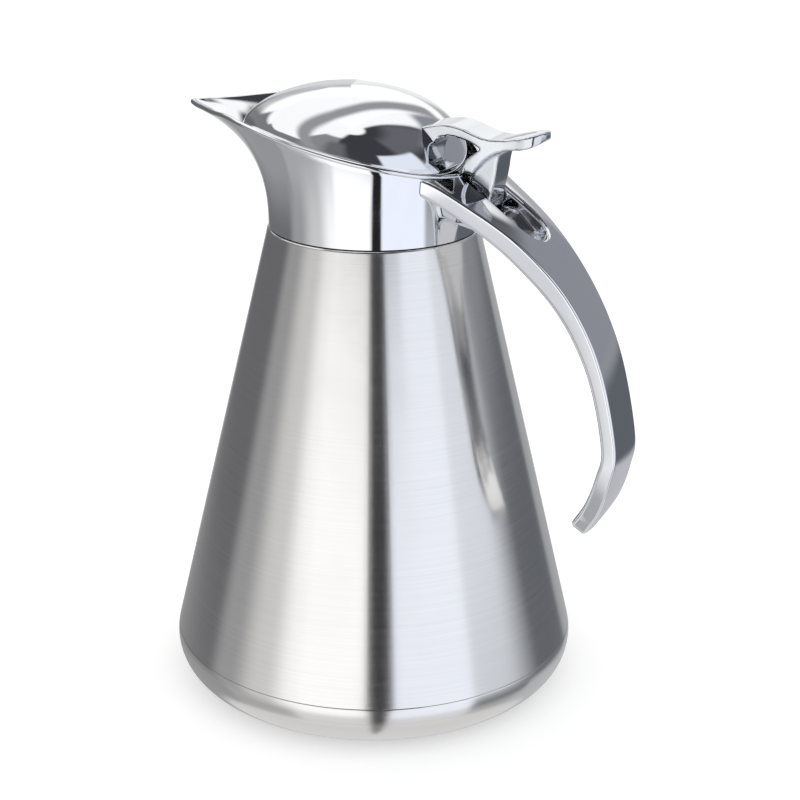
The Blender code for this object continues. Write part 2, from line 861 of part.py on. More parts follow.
# ---------------------------------------------------------------- lid
def lid_reach(degrees):
    """Lid's edge, just inside the rolled rim and cut short towards the spout."""
    low = lid_edge(degrees) - LID_LIP
    share = (low - COLLAR_BOTTOM) / (rim_height(degrees) - COLLAR_BOTTOM)
    wall = COLLAR_WALL / collar_normal(degrees, share)[0]
    inside = collar_section(degrees, share)[0] - wall
    bead = rim_reach(degrees) - COLLAR_WALL - BEAD_RADIUS * 0.4
    swing = max(math.cos(math.radians(degrees)), 0.0) ** 2
    inside = min(inside, bead) - LID_RIM_GAP - LID_SWING_ROOM * swing
    front = LID_FRONT
    if degrees < 120:
        return inside
    blend = min((degrees - 120) / 32.0, 1.0)
    blend = blend * blend * (3 - 2 * blend)
    return min(inside, inside * (1 - blend) + front * blend)


def lid_edge(degrees):
    """Height of the lid's lower edge; level with the front over the spout."""
    top = SHOULDER_Z + SPOUT_RISE
    height = rim_height(min(degrees, 132)) - LID_DROP
    ease = max(degrees - 120, 0) / 60.0
    return min(height, top - LID_DROP) - 0.0006 * ease


def dome_rings(offset, angles, shares, drop=0.0):
    """Rings of the dome's surface, moved inwards by offset."""
    apex = Vector((LID_APEX_X * SCALE, 0, SHOULDER_Z + LID_RISE - offset))
    rings = []
    for share in shares:
        ring = []
        for a in angles:
            low = lid_edge(fold(a)) - drop
            edge = polar(lid_reach(fold(a)) - offset, a, 0)
            edge.z = low
            rise = math.sqrt(max(1 - share * share, 0.0))
            point = apex.lerp(edge, share)
            point.z = low + (apex.z - low) * rise
            ring.append(point)
        rings.append(ring)
    return apex, rings


DOME_SHARES = (0.18, 0.38, 0.58, 0.75, 0.88, 0.96, 1.0)


def lid_angles():
    return [360 * i / 48 for i in range(48)]


def build_lid(looks, group, cutters):
    angles = lid_angles()
    apex, outer = dome_rings(0.0, angles, DOME_SHARES)
    lip = [p + Vector((0, 0, -LID_LIP)) for p in outer[-1]]
    under, inner = dome_rings(LID_WALL, angles, DOME_SHARES)
    inner_lip = [p + Vector((0, 0, -LID_LIP)) for p in inner[-1]]
    rings = outer + [lip, inner_lip] + list(reversed(inner))
    dome = loft("lid_dome", rings, looks["polished"], group, start=apex, end=under)
    # Foam block that fills the dome above the pan.
    shares = DOME_SHARES[:-2] + (0.94,)
    tip, block = dome_rings(FOAM_GAP, angles[::2], shares)
    floor = [p.copy() for p in block[-1]]
    above = PAN_WALL + 3 * FIT
    for p in floor:
        turn = math.degrees(math.atan2(p.y, p.x)) % 360
        share = math.hypot(p.x, p.y) / math.hypot(*pan_point(turn, 1.0).xy)
        p.z = pan_point(turn, share).z + above
    middle = Vector((0, 0, pan_point(0, 0).z + above))
    foam = loft(
        "lid_insulation", block + [floor], looks["foam"], group, start=tip, end=middle
    )
    build_pan(looks, group, cutters)
    lever = build_lever(looks, group, cutters)
    build_lever_screws(looks, group, cutters, dome, foam, lever)


def pan_point(degrees, share):
    """Point of the pan's lower face, share 0 on the axis and 1 at its edge."""
    reach = lid_reach(fold(degrees)) - LID_WALL - 2 * FIT
    edge = lid_edge(fold(degrees)) - LID_LIP
    middle = (lid_edge(0) + lid_edge(180)) / 2 - LID_LIP
    p = polar(reach * share, degrees, middle + (edge - middle) * share)
    return p


def build_pan(looks, group, cutters):
    angles = lid_angles()[::2]
    low = [pan_point(a, 1.0) for a in angles]
    high = [p + Vector((0, 0, PAN_WALL)) for p in low]
    bottom = pan_point(0, 0)
    top = bottom + Vector((0, 0, PAN_WALL))
    pan = loft(
        "lid_pan", [high, low], looks["plastic"], group, start=top, end=bottom
    )
    low_z = SHOULDER_Z + STOPPER_BOTTOM
    plate_z = top.z
    # The stopper cup's top follows the slope of the pan.
    head = []
    for a in lid_angles():
        share = STOPPER_RADIUS / pan_point(a, 1.0).xy.length
        z = pan_point(a, share).z + PAN_WALL / 2
        head.append(polar(STOPPER_RADIUS, a, z))
    cup = [head]
    for radius, z in (
        (STOPPER_RADIUS, low_z + 0.0030),
        (STOPPER_RADIUS - 0.0006, low_z + 0.0010),
        (STOPPER_RADIUS - 0.0016, low_z),
    ):
        cup.append([polar(radius, a, z) for a in lid_angles()])
    stopper = loft(
        "stopper_join",
        cup,
        None,
        cutters,
        start=Vector((0, 0, bottom.z + PAN_WALL / 2)),
        end=Vector((0, 0, low_z)),
    )
    combine(pan, stopper, "UNION")
    wall = 0.0018
    hollow = rod(
        "stopper_hollow_cutter",
        (0, 0, low_z + wall),
        (0, 0, plate_z + 0.0200),
        STOPPER_RADIUS - wall,
        None,
        cutters,
        segments=32,
    )
    combine(pan, hollow, "DIFFERENCE")
    rod(
        "plug_insulation",
        (0, 0, low_z + wall + FIT),
        (0, 0, lid_edge(0) - LID_LIP),
        STOPPER_RADIUS - wall - FIT,
        looks["foam"],
        group,
        segments=32,
    )
    seal_z = SHOULDER_Z + ADAPTER_TOP - 0.0034
    outer = STOPPER_RADIUS + FIT + SEAL_WIDTH
    seal = [
        (outer, seal_z + SEAL_HEIGHT * 0.7),
        (outer, seal_z + SEAL_HEIGHT * 0.3),
        (outer - 0.0004, seal_z),
        (STOPPER_RADIUS + FIT, seal_z),
        (STOPPER_RADIUS + FIT, seal_z + SEAL_HEIGHT),
        (outer - 0.0004, seal_z + SEAL_HEIGHT),
    ]
    turned("lid_seal", seal, looks["silicone"], group, steps=32)


def build_lever(looks, group, cutters):
    """Arch from the dome's rear, thumb paddle, and the web down to the knuckle."""
    hx, hz = HINGE.x, HINGE.z
    tip = PADDLE_OUT
    arch_top = [
        (hx - 0.0290, hz + 0.0235),
        (hx - 0.0225, hz + 0.0254),
        (hx - 0.0160, hz + 0.0253),
        (hx - 0.0115, hz + 0.0247),
        (hx - 0.0075, hz + 0.0240),
        (hx - 0.0040, hz + 0.0231),
        (hx - 0.0005, hz + 0.0221),
        (hx + 0.0035, hz + 0.0212),
        (hx + 0.0070, hz + 0.0210),
        (hx + 0.0110, hz + 0.0219),
        (hx + 0.0150, hz + 0.0230),
        (hx + tip - 0.0022, hz + 0.0236),
        (hx + tip - 0.0004, hz + 0.0232),
        (hx + tip, hz + 0.0222),
        (hx + tip - 0.0008, hz + 0.0209),
        (hx + 0.0160, hz + 0.0194),
        (hx + 0.0110, hz + 0.0182),
        (hx + 0.0076, hz + 0.0169),
        (hx + 0.0052, hz + 0.0150),
        (hx + 0.0033, hz + 0.0124),
        (hx + 0.0016, hz + 0.0092),
        (hx + 0.0010, hz + 0.0075),
    ]
    # The toe below the post's front passes over the collar's rolled rim.
    rim = SHOULDER_Z + RIM_REAR_RISE + BEAD_RADIUS
    toe = rim + 3 * FIT - hz
    back = COLLAR_RADIUS + 0.0007 + BEAD_RADIUS + 2 * FIT - hx
    post_front = [
        (hx + back, hz + 0.0075),
        (hx + back, hz + toe),
        (hx - 0.0074, hz + toe),
        (hx - 0.0077, hz + toe + 0.0006),
        (hx - 0.0057, hz + 0.0118),
        (hx - 0.0032, hz + 0.0142),
        (hx - 0.0013, hz + 0.0162),
        (hx - 0.0011, hz + 0.0173),
        (hx - 0.0026, hz + 0.0185),
        (hx - 0.0060, hz + 0.0193),
        (hx - 0.0100, hz + 0.0196),
        (hx - 0.0124, hz + 0.0191),
        (hx - 0.0140, hz + 0.0178),
        (hx - 0.0150, hz + 0.0155),
        (hx - 0.0290, hz + 0.0155),
    ]
    lever = outline(
        "lid_lever", arch_top + post_front, LEVER_WIDTH, looks["polished"], group, 0.0012
    )
    # Web and knuckle below, narrow enough to pass between the slot's cheeks.
    web_points = [
        (hx + 0.0016, hz + 0.0105),
        (hx + 0.0010, hz + 0.0070),
        (hx + 0.0016, hz + 0.0025),
        (hx + 0.0026, hz - 0.0010),
        (hx - 0.0022, hz - 0.0016),
        (hx - 0.0030, hz + 0.0020),
        (hx - 0.0032, hz + 0.0080),
        (hx - 0.0030, hz + 0.0105),
    ]
    web = outline("web_join", web_points, WEB_WIDTH, None, cutters)
    combine(lever, web, "UNION")
    half = Vector((0, KNUCKLE_WIDTH / 2, 0))
    barrel = rod(
        "knuckle_join", HINGE - half, HINGE + half, KNUCKLE_RADIUS, None, cutters, 32
    )
    combine(lever, barrel, "UNION")
    bore = rod(
        "knuckle_bore_cutter",
        HINGE - half * 2,
        HINGE + half * 2,
        PIN_RADIUS + 2 * FIT + BUSH_WALL,
        None,
        cutters,
    )
    combine(lever, bore, "DIFFERENCE")
    # The paddle narrows and ends round.
    tip_r = PADDLE_WIDTH / 2
    wide = LEVER_WIDTH / 2 + 0.0010
    plan = [(hx - 0.0400, -wide), (hx + 0.0020, -wide), (hx + 0.0100, -tip_r)]
    centre = (hx + tip - tip_r, 0.0)
    plan += [
        (centre[0] + tip_r * math.cos(t), centre[1] + tip_r * math.sin(t))
        for t in (math.radians(-90 + 180 * i / 12) for i in range(13))
    ]
    plan += [(hx + 0.0100, tip_r), (hx + 0.0020, wide), (hx - 0.0400, wide)]
    low = [Vector((x, y, hz - 0.0100)) for x, y in plan]
    high = [Vector((x, y, hz + 0.0400)) for x, y in plan]
    keep = loft("lever_plan_cutter", [low, high], None, cutters)
    combine(lever, keep, "INTERSECT")
    # The arch's foot sits on the dome.
    angles = lid_angles()
    apex, rings = dome_rings(-FIT, angles, DOME_SHARES)
    skirt = [p + Vector((0, 0, -0.0100)) for p in rings[-1]]
    seat = loft(
        "dome_seat_cutter",
        rings + [skirt],
        None,
        cutters,
        start=apex,
        end=Vector((0, 0, skirt[0].z)),
    )
    combine(lever, seat, "DIFFERENCE")
    return lever


def lever_screw_line(side):
    """Seat inside the dome's rear slope, and the direction into the arch's foot."""
    share = 0.86
    reach = lid_reach(0) - LID_WALL
    apex = Vector((LID_APEX_X * SCALE, 0, SHOULDER_Z + LID_RISE - LID_WALL))
    low = lid_edge(0)
    rise = math.sqrt(1 - share * share)
    x = apex.x + (reach - apex.x) * share
    z = low + (apex.z - low) * rise
    out = Vector((share / (reach - apex.x), 0.0, rise / (apex.z - low))).normalized()
    seat = Vector((x, side * LEVER_SCREW_SPACING / 2, z)) - out * 2 * FIT
    return seat, out


def build_lever_screws(looks, group, cutters, dome, foam, lever):
    for side, name in ((-1, "right"), (1, "left")):
        seat, out = lever_screw_line(side)
        length = 0.0052
        profile = [
            (0.0, length),
            (LEVER_SCREW_RADIUS * 0.7, length),
            (LEVER_SCREW_RADIUS, length - 0.0006),
            (LEVER_SCREW_RADIUS, 0.0),
            (LEVER_SCREW_HEAD, 0.0),
            (LEVER_SCREW_HEAD, -0.0010),
            (LEVER_SCREW_HEAD * 0.7, -0.0015),
            (0.0, -0.0015),
        ]
        screw = turned(
            "lever_screw_" + name,
            profile,
            looks["screw"],
            group,
            steps=FINE,
            closed=False,
        )
        turn = out.to_track_quat("Z", "Y").to_matrix().to_4x4()
        screw.matrix_world = Matrix.Translation(seat) @ turn
        hole = rod(
            "lever_hole_cutter_" + name,
            seat,
            seat + out * (length + FIT),
            LEVER_SCREW_RADIUS + FIT,
            None,
            cutters,
        )
        combine(dome, hole, "DIFFERENCE")
        combine(lever, hole, "DIFFERENCE")
        room = rod(
            "foam_hole_cutter_" + name,
            seat - out * 0.0030,
            seat + out * 0.0100,
            LEVER_SCREW_HEAD + FIT,
            None,
            cutters,
        )
        combine(foam, room, "DIFFERENCE")


# ---------------------------------------------------------------- assembly
def centre_on_box(group):
    """Moves everything so that the bounding box's bottom middle is the origin."""
    bpy.context.view_layer.update()
    graph = bpy.context.evaluated_depsgraph_get()
    xs = []
    for item in group.objects:
        if item.type != "MESH":
            continue
        made = item.evaluated_get(graph)
        world = item.matrix_world
        xs += [(world @ v.co).x for v in made.data.vertices]
    shift = -(min(xs) + max(xs)) / 2
    move = Matrix.Translation((shift, 0.0, 0.0))
    for item in list(bpy.data.objects):
        if item.parent is None:
            item.matrix_world = move @ item.matrix_world


def parent_lid(group):
    """The lid's pieces hang from an empty on the hinge axis."""
    hinge = bpy.data.objects.new("lid_hinge_axis", None)
    hinge.empty_display_size = 0.02
    hinge.location = HINGE
    group.objects.link(hinge)
    bpy.context.view_layer.update()
    names = ("lid_", "lever_screw", "plug_insulation", "hinge_bush")
    for item in group.objects:
        if item is hinge or not item.name.startswith(names):
            continue
        world = item.matrix_world.copy()
        item.parent = hinge
        item.matrix_parent_inverse = hinge.matrix_world.inverted()
        item.matrix_world = world


def main():
    clear_scene()
    group = collection("Vacuum_Jug")
    cutters = collection("Cutters")
    looks = {
        "steel": material("Brushed steel", (0.62, 0.61, 0.60), 0.32, 1.0),
        "polished": material("Polished chrome", (0.78, 0.79, 0.81), 0.06, 1.0),
        "screw": material("Screw steel", (0.55, 0.55, 0.56), 0.28, 1.0),
        "plastic": material("Black plastic", (0.03, 0.03, 0.035), 0.45, 0.0),
        "silicone": material("Grey silicone", (0.22, 0.22, 0.23), 0.6, 0.0),
        "foam": material("Insulating foam", (0.72, 0.68, 0.52), 0.9, 0.0),
    }
    build_body(looks, group)
    collar = build_collar(looks["polished"], group)
    build_handle(looks["polished"], group, cutters)
    build_fasteners(looks, group, collar, cutters)
    build_hinge(looks, group)
    build_lid(looks, group, cutters)
    parent_lid(group)
    centre_on_box(group)


main()
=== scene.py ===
"""Vacuum pouring jug: the visible model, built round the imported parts."""

import json
import math

import bmesh
import bpy
from bpy.props import FloatProperty, FloatVectorProperty, IntProperty, PointerProperty
from mathutils import Matrix, Vector
from mathutils.bvhtree import BVHTree


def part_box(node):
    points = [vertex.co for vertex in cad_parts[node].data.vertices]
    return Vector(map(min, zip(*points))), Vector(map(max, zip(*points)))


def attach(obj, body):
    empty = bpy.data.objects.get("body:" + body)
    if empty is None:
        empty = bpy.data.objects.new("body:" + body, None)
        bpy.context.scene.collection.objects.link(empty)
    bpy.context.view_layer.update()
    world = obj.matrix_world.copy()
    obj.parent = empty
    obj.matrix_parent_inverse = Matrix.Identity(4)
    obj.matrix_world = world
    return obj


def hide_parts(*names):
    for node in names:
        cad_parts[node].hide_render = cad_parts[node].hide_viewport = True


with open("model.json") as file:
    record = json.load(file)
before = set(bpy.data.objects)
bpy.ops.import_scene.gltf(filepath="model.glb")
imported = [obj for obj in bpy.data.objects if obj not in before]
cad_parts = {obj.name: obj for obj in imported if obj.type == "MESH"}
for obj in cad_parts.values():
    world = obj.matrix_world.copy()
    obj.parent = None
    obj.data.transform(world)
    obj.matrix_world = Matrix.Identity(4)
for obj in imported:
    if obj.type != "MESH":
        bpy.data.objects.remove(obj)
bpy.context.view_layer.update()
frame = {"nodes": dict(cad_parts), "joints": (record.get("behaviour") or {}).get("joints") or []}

bl_info = {
    "name": "Vacuum pouring jug",
    "version": (1, 0, 0),
    "blender": (4, 5, 0),
    "location": "View3D > Sidebar > Jug",
    "description": "Builds a steel vacuum jug with a hinged lid and a cast handle",
    "category": "Object",
}

SHELL_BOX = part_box("outer_shell")
BASE_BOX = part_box("base_cup")
AXIS_X = (SHELL_BOX[0].x + SHELL_BOX[1].x) / 2
HINGE = Vector(frame["joints"][0]["pos_m"]) - Vector((AXIS_X, 0.0, 0.0))
FIT = 0.0003  # gap between pieces that touch
MERGE = 1e-7  # points closer than this are one
ROUND_STEPS = 144  # steps of a turned piece
BODY_STEPS = 192  # of the wide ones
CREASE = math.radians(38)  # sharper edges stay crisp in the shading
FLAT_WEIGHT = 80  # pull of large faces on the shading of even pieces
SPOUT_FLARE = 2.5  # exponent of the collar's trumpet curve
SEAM_GAP = FIT / 8  # half of the fine line between shell and base band
SEAM_ROUND = 0.00012  # rounding of the shell's edge at that line
RING_HEIGHT = 0.0008  # ring on the flask's mouth
DISC_THICKNESS = 0.0012  # cover in the underside
HANDLE_STEPS = 135  # rings along the handle
BUSH_WALL = 0.0005  # bushes between pin and knuckle
PLUG_LENGTH = 0.0040  # plug that closes the pin's bore
BORE_END = 0.0300  # how far the pin's bore runs past the hinge's middle
CASTING_GRAIN = 0.00026  # voxel size that rounds the lever's edges
PADDLE_DROP = 0.0011  # how far the paddle's long edges turn down


# ---------------------------------------------------------------- settings
def length(name, description, default):
    return FloatProperty(
        name=name,
        description=description,
        default=default,
        min=0.0,
        unit="LENGTH",
        subtype="DISTANCE",
        precision=4,
    )


def colour(name, description, default):
    return FloatVectorProperty(
        name=name,
        description=description,
        default=default,
        size=3,
        min=0.0,
        max=1.0,
        subtype="COLOR",
    )


class JugSizes(bpy.types.PropertyGroup):
    """Sizes of the jug, measured from its own axis and the surface it stands on."""

    base_radius: length("Base radius", "Widest radius of the body", BASE_BOX[1].y)
    corner_radius: length("Base corner", "Rounding of the base band", 0.0139)
    foot_width: length("Foot width", "Width of the foot ring", 0.0055)
    shoulder_radius: length("Shoulder radius", "Top radius of the cone", 0.0352)
    shoulder_z: length("Shoulder height", "Height of the cone's top", 0.1607)
    shell_wall: length("Shell wall", "Sheet thickness of the shell", 0.0010)
    liner_wall: length("Liner wall", "Sheet thickness of the liner", 0.0008)
    vacuum_gap: length("Vacuum gap", "Space between shell and liner", 0.0055)
    neck_radius: length("Neck radius", "Inside radius of the neck", 0.0270)
    neck_height: length("Neck height", "Height of the neck", 0.0115)
    underside_rise: length("Underside rise", "Recess of the underside", 0.0040)
    disc_radius: length("Disc radius", "Radius of the base's disc", 0.0200)
    collar_radius: length("Collar radius", "Outer radius at the seam", 0.0349)
    collar_wall: length("Collar wall", "Sheet thickness of the collar", 0.0012)
    bead_radius: length("Rim bead", "Radius of the collar's rolled rim", 0.0009)
    spout_reach: length("Spout reach", "Distance of the spout's tip", 0.0706)
    spout_rise: length("Spout rise", "Height of the tip over the shoulder", 0.0341)
    rim_rise: length("Rim rise", "Height of the rim over the shoulder, rear", 0.0208)
    adapter_lip: length("Pouring lip", "Inner radius of the neck ring", 0.0258)
    adapter_web: length("Ring web", "Radius of the neck ring's web", 0.0304)
    adapter_top: length("Ring height", "Height of the neck ring", 0.0157)
    handle_wall: length("Handle thickness", "Thickness of the cast handle", 0.0062)
    yoke_width: length("Yoke width", "Width of the handle at the collar", 0.0460)
    grip_width: length("Grip width", "Width of the handle's grip", 0.0194)
    end_width: length("End width", "Width of the handle's end", 0.0148)
    handle_reach: length("Handle reach", "Reach beyond the collar", 0.0570)
    handle_drop: length("Handle drop", "Depth of the end under the shoulder", 0.0935)
    boss_width: length("Boss width", "Width of the boss under the yoke", 0.0290)
    boss_depth: length("Boss depth", "Depth of the boss under the yoke", 0.0045)
    slot_width: length("Pocket width", "Width of the lever's pocket", 0.0144)
    slot_end: length("Pocket end", "Reach of the pocket beyond the collar", 0.0262)
    slot_lip: length("Pocket lip", "Rounding of the pocket's edge", 0.0021)
    pin_radius: length("Pin radius", "Radius of the hinge pin", 0.0015)
    pin_length: length("Pin length", "Length of the hinge pin", 0.0264)
    knuckle_radius: length("Knuckle radius", "Outer radius of the knuckle", 0.0037)
    knuckle_width: length("Knuckle width", "Width of the knuckle", 0.0116)
    lid_wall: length("Lid wall", "Sheet thickness of the dome", 0.0010)
    lid_rise: length("Lid rise", "Height of the dome over the shoulder", 0.0458)
    lid_back: length("Apex offset", "How far the dome's top leans to the spout", 0.0100)
    lid_front: length("Lid front", "Reach of the lid over the spout", 0.0430)
    lid_gap: length("Lid gap", "Gap between lid and rim", 0.0009)
    swing_room: length("Swing room", "More gap at the hinge for the swing", 0.0026)
    lid_drop: length("Lid drop", "Depth of the lid's edge under the rim", 0.0020)
    lid_lip: length("Lid lip", "Height of the lid's straight edge", 0.0010)
    pan_wall: length("Pan wall", "Thickness of the lid's underside", 0.0018)
    stopper_radius: length("Stopper radius", "Radius of the stopper", 0.0240)
    stopper_bottom: length("Stopper bottom", "Its height over the shoulder", 0.0073)
    seal_width: length("Seal width", "How far the seal stands out", 0.0009)
    seal_height: length("Seal height", "Height of the seal", 0.0018)
    lever_width: length("Lever width", "Width of the lever's arch", 0.0150)
    paddle_width: length("Paddle width", "Width of the thumb paddle", 0.0120)
    paddle_out: length("Paddle reach", "Reach of the paddle past the pin", 0.0210)
    web_width: length("Web width", "Width of the web to the knuckle", 0.0112)


class JugColours(bpy.types.PropertyGroup):
    """Colours and finishes of the jug's materials."""

    chrome: colour("Chrome", "Polished collar, lid and handle", (0.80, 0.81, 0.83))
    cast: colour("Cast chrome", "Plated casting of the lever", (0.66, 0.68, 0.71))
    brushed: colour("Brushed steel", "Body", (0.80, 0.79, 0.775))
    liner: colour("Liner steel", "Inside of the flask", (0.60, 0.59, 0.58))
    screw: colour("Screw steel", "Screws and pin", (0.52, 0.52, 0.54))
    plastic: colour("Plastic", "Neck ring and lid's underside", (0.022, 0.022, 0.025))
    silicone: colour("Silicone", "Seals", (0.20, 0.20, 0.21))
    foam: colour("Foam", "Insulation in the lid", (0.72, 0.66, 0.46))
    floor: colour("Floor", "Studio floor", (0.86, 0.86, 0.86))


class JugStage(bpy.types.PropertyGroup):
    """Camera and studio light."""

    azimuth: FloatProperty(
        name="Camera azimuth",
        description="Camera's turn round the jug from the front",
        default=math.radians(28),
        subtype="ANGLE",
    )
    pitch: FloatProperty(
        name="Camera pitch",
        description="Camera's tilt from straight down",
        default=math.radians(69.55),
        subtype="ANGLE",
    )
    distance: length("Camera distance", "Level distance from the axis", 0.56)
    height: length("Camera height", "Height over the floor", 0.307)
    lens: FloatProperty(
        name="Lens", description="Focal length in millimetres", default=78.08, min=1.0
    )
    shift: FloatProperty(
        name="Shift", description="Sideways shift for the framing", default=0.03275
    )
    glow: FloatProperty(
        name="Floor glow", description="Emission of the pale floor", default=0.30
    )
    polish: IntProperty(
        name="Lever smoothing",
        description="Rounds of smoothing on the cast lever",
        default=28,
        min=0,
    )


# ---------------------------------------------------------------- shapes in numbers
def along(table, place):
    """Smooth interpolation in a table of (place, value), flat at its ends."""
    if place <= table[0][0]:
        return table[0][1]
    for k in range(len(table) - 1):
        (x0, y0), (x1, y1) = table[k], table[k + 1]
        if place > x1:
            continue
        slopes = []
        for i in (k, k + 1):
            inner = 0 < i < len(table) - 1
            rise = table[i + 1][1] - table[i - 1][1] if inner else 0.0
            slopes.append(rise / (table[i + 1][0] - table[i - 1][0]) if inner else 0.0)
        h = x1 - x0
        t = (place - x0) / h
        return (
            (2 * t**3 - 3 * t**2 + 1) * y0
            + (t**3 - 2 * t**2 + t) * h * slopes[0]
            + (3 * t**2 - 2 * t**3) * y1
            + (t**3 - t**2) * h * slopes[1]
        )
    return table[-1][1]


def smooth_path(points, samples):
    """Catmull-Rom through the points, evenly sampled by control span."""
    points = [Vector(p) for p in points]
    points = [points[0] * 2 - points[1], *points, points[-1] * 2 - points[-2]]
    spans = len(points) - 3
    path = []
    for i in range(samples + 1):
        place = spans * i / samples
        k = min(int(place), spans - 1)
        t = place - k
        a, b, c, d = points[k : k + 4]
        path.append(
            0.5
            * (
                2 * b
                + (c - a) * t
                + (2 * a - 5 * b + 4 * c - d) * t * t
                + (3 * b - a - 3 * c + d) * t**3
            )
        )
    return path


def polar(radius, degrees, z):
    """Point at an angle round the jug's axis, counted from the handle."""
    angle = math.radians(degrees)
    return Vector((radius * math.cos(angle), radius * math.sin(angle), z))


def fold(degrees):
    """The same place on the half that runs from the handle, 0, to the spout, 180."""
    degrees %= 360
    return degrees if degrees <= 180 else 360 - degrees


def plan_angles(half):
    """Angles round the plan, closer together towards the spout's tip."""
    side = [180 * (1 - (1 - i / half) ** 1.45) for i in range(half + 1)]
    return side + [360 - a for a in side[-2:0:-1]]


def arc(centre, radius, start, end, steps):
    points = []
    for i in range(steps + 1):
        a = math.radians(start + (end - start) * i / steps)
        points.append(
            (centre[0] + radius * math.cos(a), centre[1] + radius * math.sin(a))
        )
    return points


def rounded(points, steps=5):
    """Profile points, in which a third number is the rounding of that corner."""
    made = []
    count = len(points)
    for i, point in enumerate(points):
        here = Vector(point[:2])
        if len(point) < 3:
            made.append(tuple(here))
            continue
        before = Vector(points[i - 1][:2]) - here
        after = Vector(points[(i + 1) % count][:2]) - here
        a, b = before.normalized(), after.normalized()
        half = a.angle(b) / 2
        cut = point[2] / math.tan(half)
        centre = here + (a + b).normalized() * point[2] / math.sin(half)
        u, v = here + a * cut - centre, here + b * cut - centre
        turn = u.angle(v)
        for k in range(steps + 1):
            t = k / steps
            w = (u * math.sin((1 - t) * turn) + v * math.sin(t * turn)) / math.sin(turn)
            made.append(tuple(centre + w))
    return made


# ---------------------------------------------------------------- collar's surface
def collar_bottom(s):
    return s.shoulder_z + FIT


def rim_reach(s, degrees):
    """Rim's distance from the jug's axis; 0 is the handle side, 180 the spout."""
    table = [
        (0, 0.0356),
        (60, 0.0360),
        (90, 0.0366),
        (115, 0.0400),
        (132, 0.0446),
        (147, 0.0484),
        (160, 0.0534),
        (170, 0.0600),
        (177, 0.0674),
        (180, s.spout_reach - s.bead_radius / 2),
    ]
    return along(table, degrees)


def rim_height(s, degrees):
    """Rim's height: level along the spout, falling towards the handle."""
    rear, tip = s.shoulder_z + s.rim_rise, s.shoulder_z + s.spout_rise
    table = [
        (0, rear),
        (30, rear + 0.0016),
        (60, rear + 0.0054),
        (90, rear + 0.0092),
        (117, tip - 0.0006),
        (132, tip + 0.0014),
        (147, tip + 0.0020),
        (162, tip + 0.0008),
        (180, tip),
    ]
    return along(table, degrees)


def collar_section(s, degrees, share):
    """(radius, height) of the outer face, share 0 at the seam and 1 at the rim."""
    reach, height = rim_reach(s, degrees), rim_height(s, degrees)
    radius = s.collar_radius + (reach - s.collar_radius) * share**SPOUT_FLARE
    return radius, collar_bottom(s) + (height - collar_bottom(s)) * share


def collar_normal(s, degrees, share):
    """Outward direction of the collar's wall, as (radial, upward)."""
    low = collar_section(s, degrees, max(share - 0.02, 0.0))
    high = collar_section(s, degrees, min(share + 0.02, 1.0))
    dr, dz = high[0] - low[0], high[1] - low[1]
    size = math.hypot(dr, dz)
    return dz / size, -dr / size


# ---------------------------------------------------------------- lid's surface
def lid_edge(s, degrees):
    """Height of the lid's lower edge; level with the front over the spout."""
    top = s.shoulder_z + s.spout_rise
    height = rim_height(s, min(degrees, 132)) - s.lid_drop
    return min(height, top - s.lid_drop) - 0.0006 * max(degrees - 120, 0) / 60.0


def lid_reach(s, degrees):
    """Lid's edge, just inside the rolled rim and cut short towards the spout."""
    low = lid_edge(s, degrees) - s.lid_lip
    share = (low - collar_bottom(s)) / (rim_height(s, degrees) - collar_bottom(s))
    wall = s.collar_wall / collar_normal(s, degrees, share)[0]
    inside = collar_section(s, degrees, share)[0] - wall
    bead = rim_reach(s, degrees) - s.collar_wall - s.bead_radius * 0.4
    swing = max(math.cos(math.radians(degrees)), 0.0) ** 2
    inside = min(inside, bead) - s.lid_gap - s.swing_room * swing
    if degrees < 120:
        return inside
    blend = min((degrees - 120) / 32.0, 1.0)
    blend = blend * blend * (3 - 2 * blend)
    return min(inside, inside * (1 - blend) + s.lid_front * blend)


def dome_rings(s, offset, angles, shares):
    """Rings of the dome's surface, moved inwards by offset, from the top down."""
    apex = Vector((-s.lid_back, 0, s.shoulder_z + s.lid_rise - offset))
    rings = []
    for share in shares:
        ring = []
        for a in angles:
            low = lid_edge(s, fold(a))
            edge = polar(lid_reach(s, fold(a)) - offset, a, 0)
            point = apex.lerp(edge, share)
            point.z = low + (apex.z - low) * math.sqrt(max(1 - share * share, 0.0))
            ring.append(point)
        rings.append(ring)
    return apex, rings


def pan_point(s, degrees, share):
    """Point of the pan's lower face, share 0 on the axis and 1 at its edge."""
    reach = lid_reach(s, fold(degrees)) - s.lid_wall - 2 * FIT
    edge = lid_edge(s, fold(degrees)) - s.lid_lip
    middle = (lid_edge(s, 0) + lid_edge(s, 180)) / 2 - s.lid_lip
    return polar(reach * share, degrees, middle + (edge - middle) * share)


# ---------------------------------------------------------------- mesh tools
def spun(profile, steps=ROUND_STEPS, closed=True):
    """Turns an (r, z) profile once round the jug's axis."""
    bm = bmesh.new()
    verts = [bm.verts.new((r, 0.0, z)) for r, z in profile]
    ends = verts[1:] + verts[:1] if closed else verts[1:]
    edges = [bm.edges.new(pair) for pair in zip(verts, ends)]
    bmesh.ops.spin(
        bm,
        geom=verts + edges,
        cent=(0, 0, 0),
        axis=(0, 0, 1),
        dvec=(0, 0, 0),
        angle=math.tau,
        steps=steps,
        use_merge=True,
        use_duplicate=False,
    )
    return tidy(bm)


def tidy(bm):
    """Merges doubles, drops faces without area and turns the rest outwards."""
    bmesh.ops.remove_doubles(bm, verts=bm.verts, dist=MERGE)
    bmesh.ops.dissolve_degenerate(bm, edges=bm.edges, dist=MERGE)
    bmesh.ops.recalc_face_normals(bm, faces=bm.faces)
    return bm


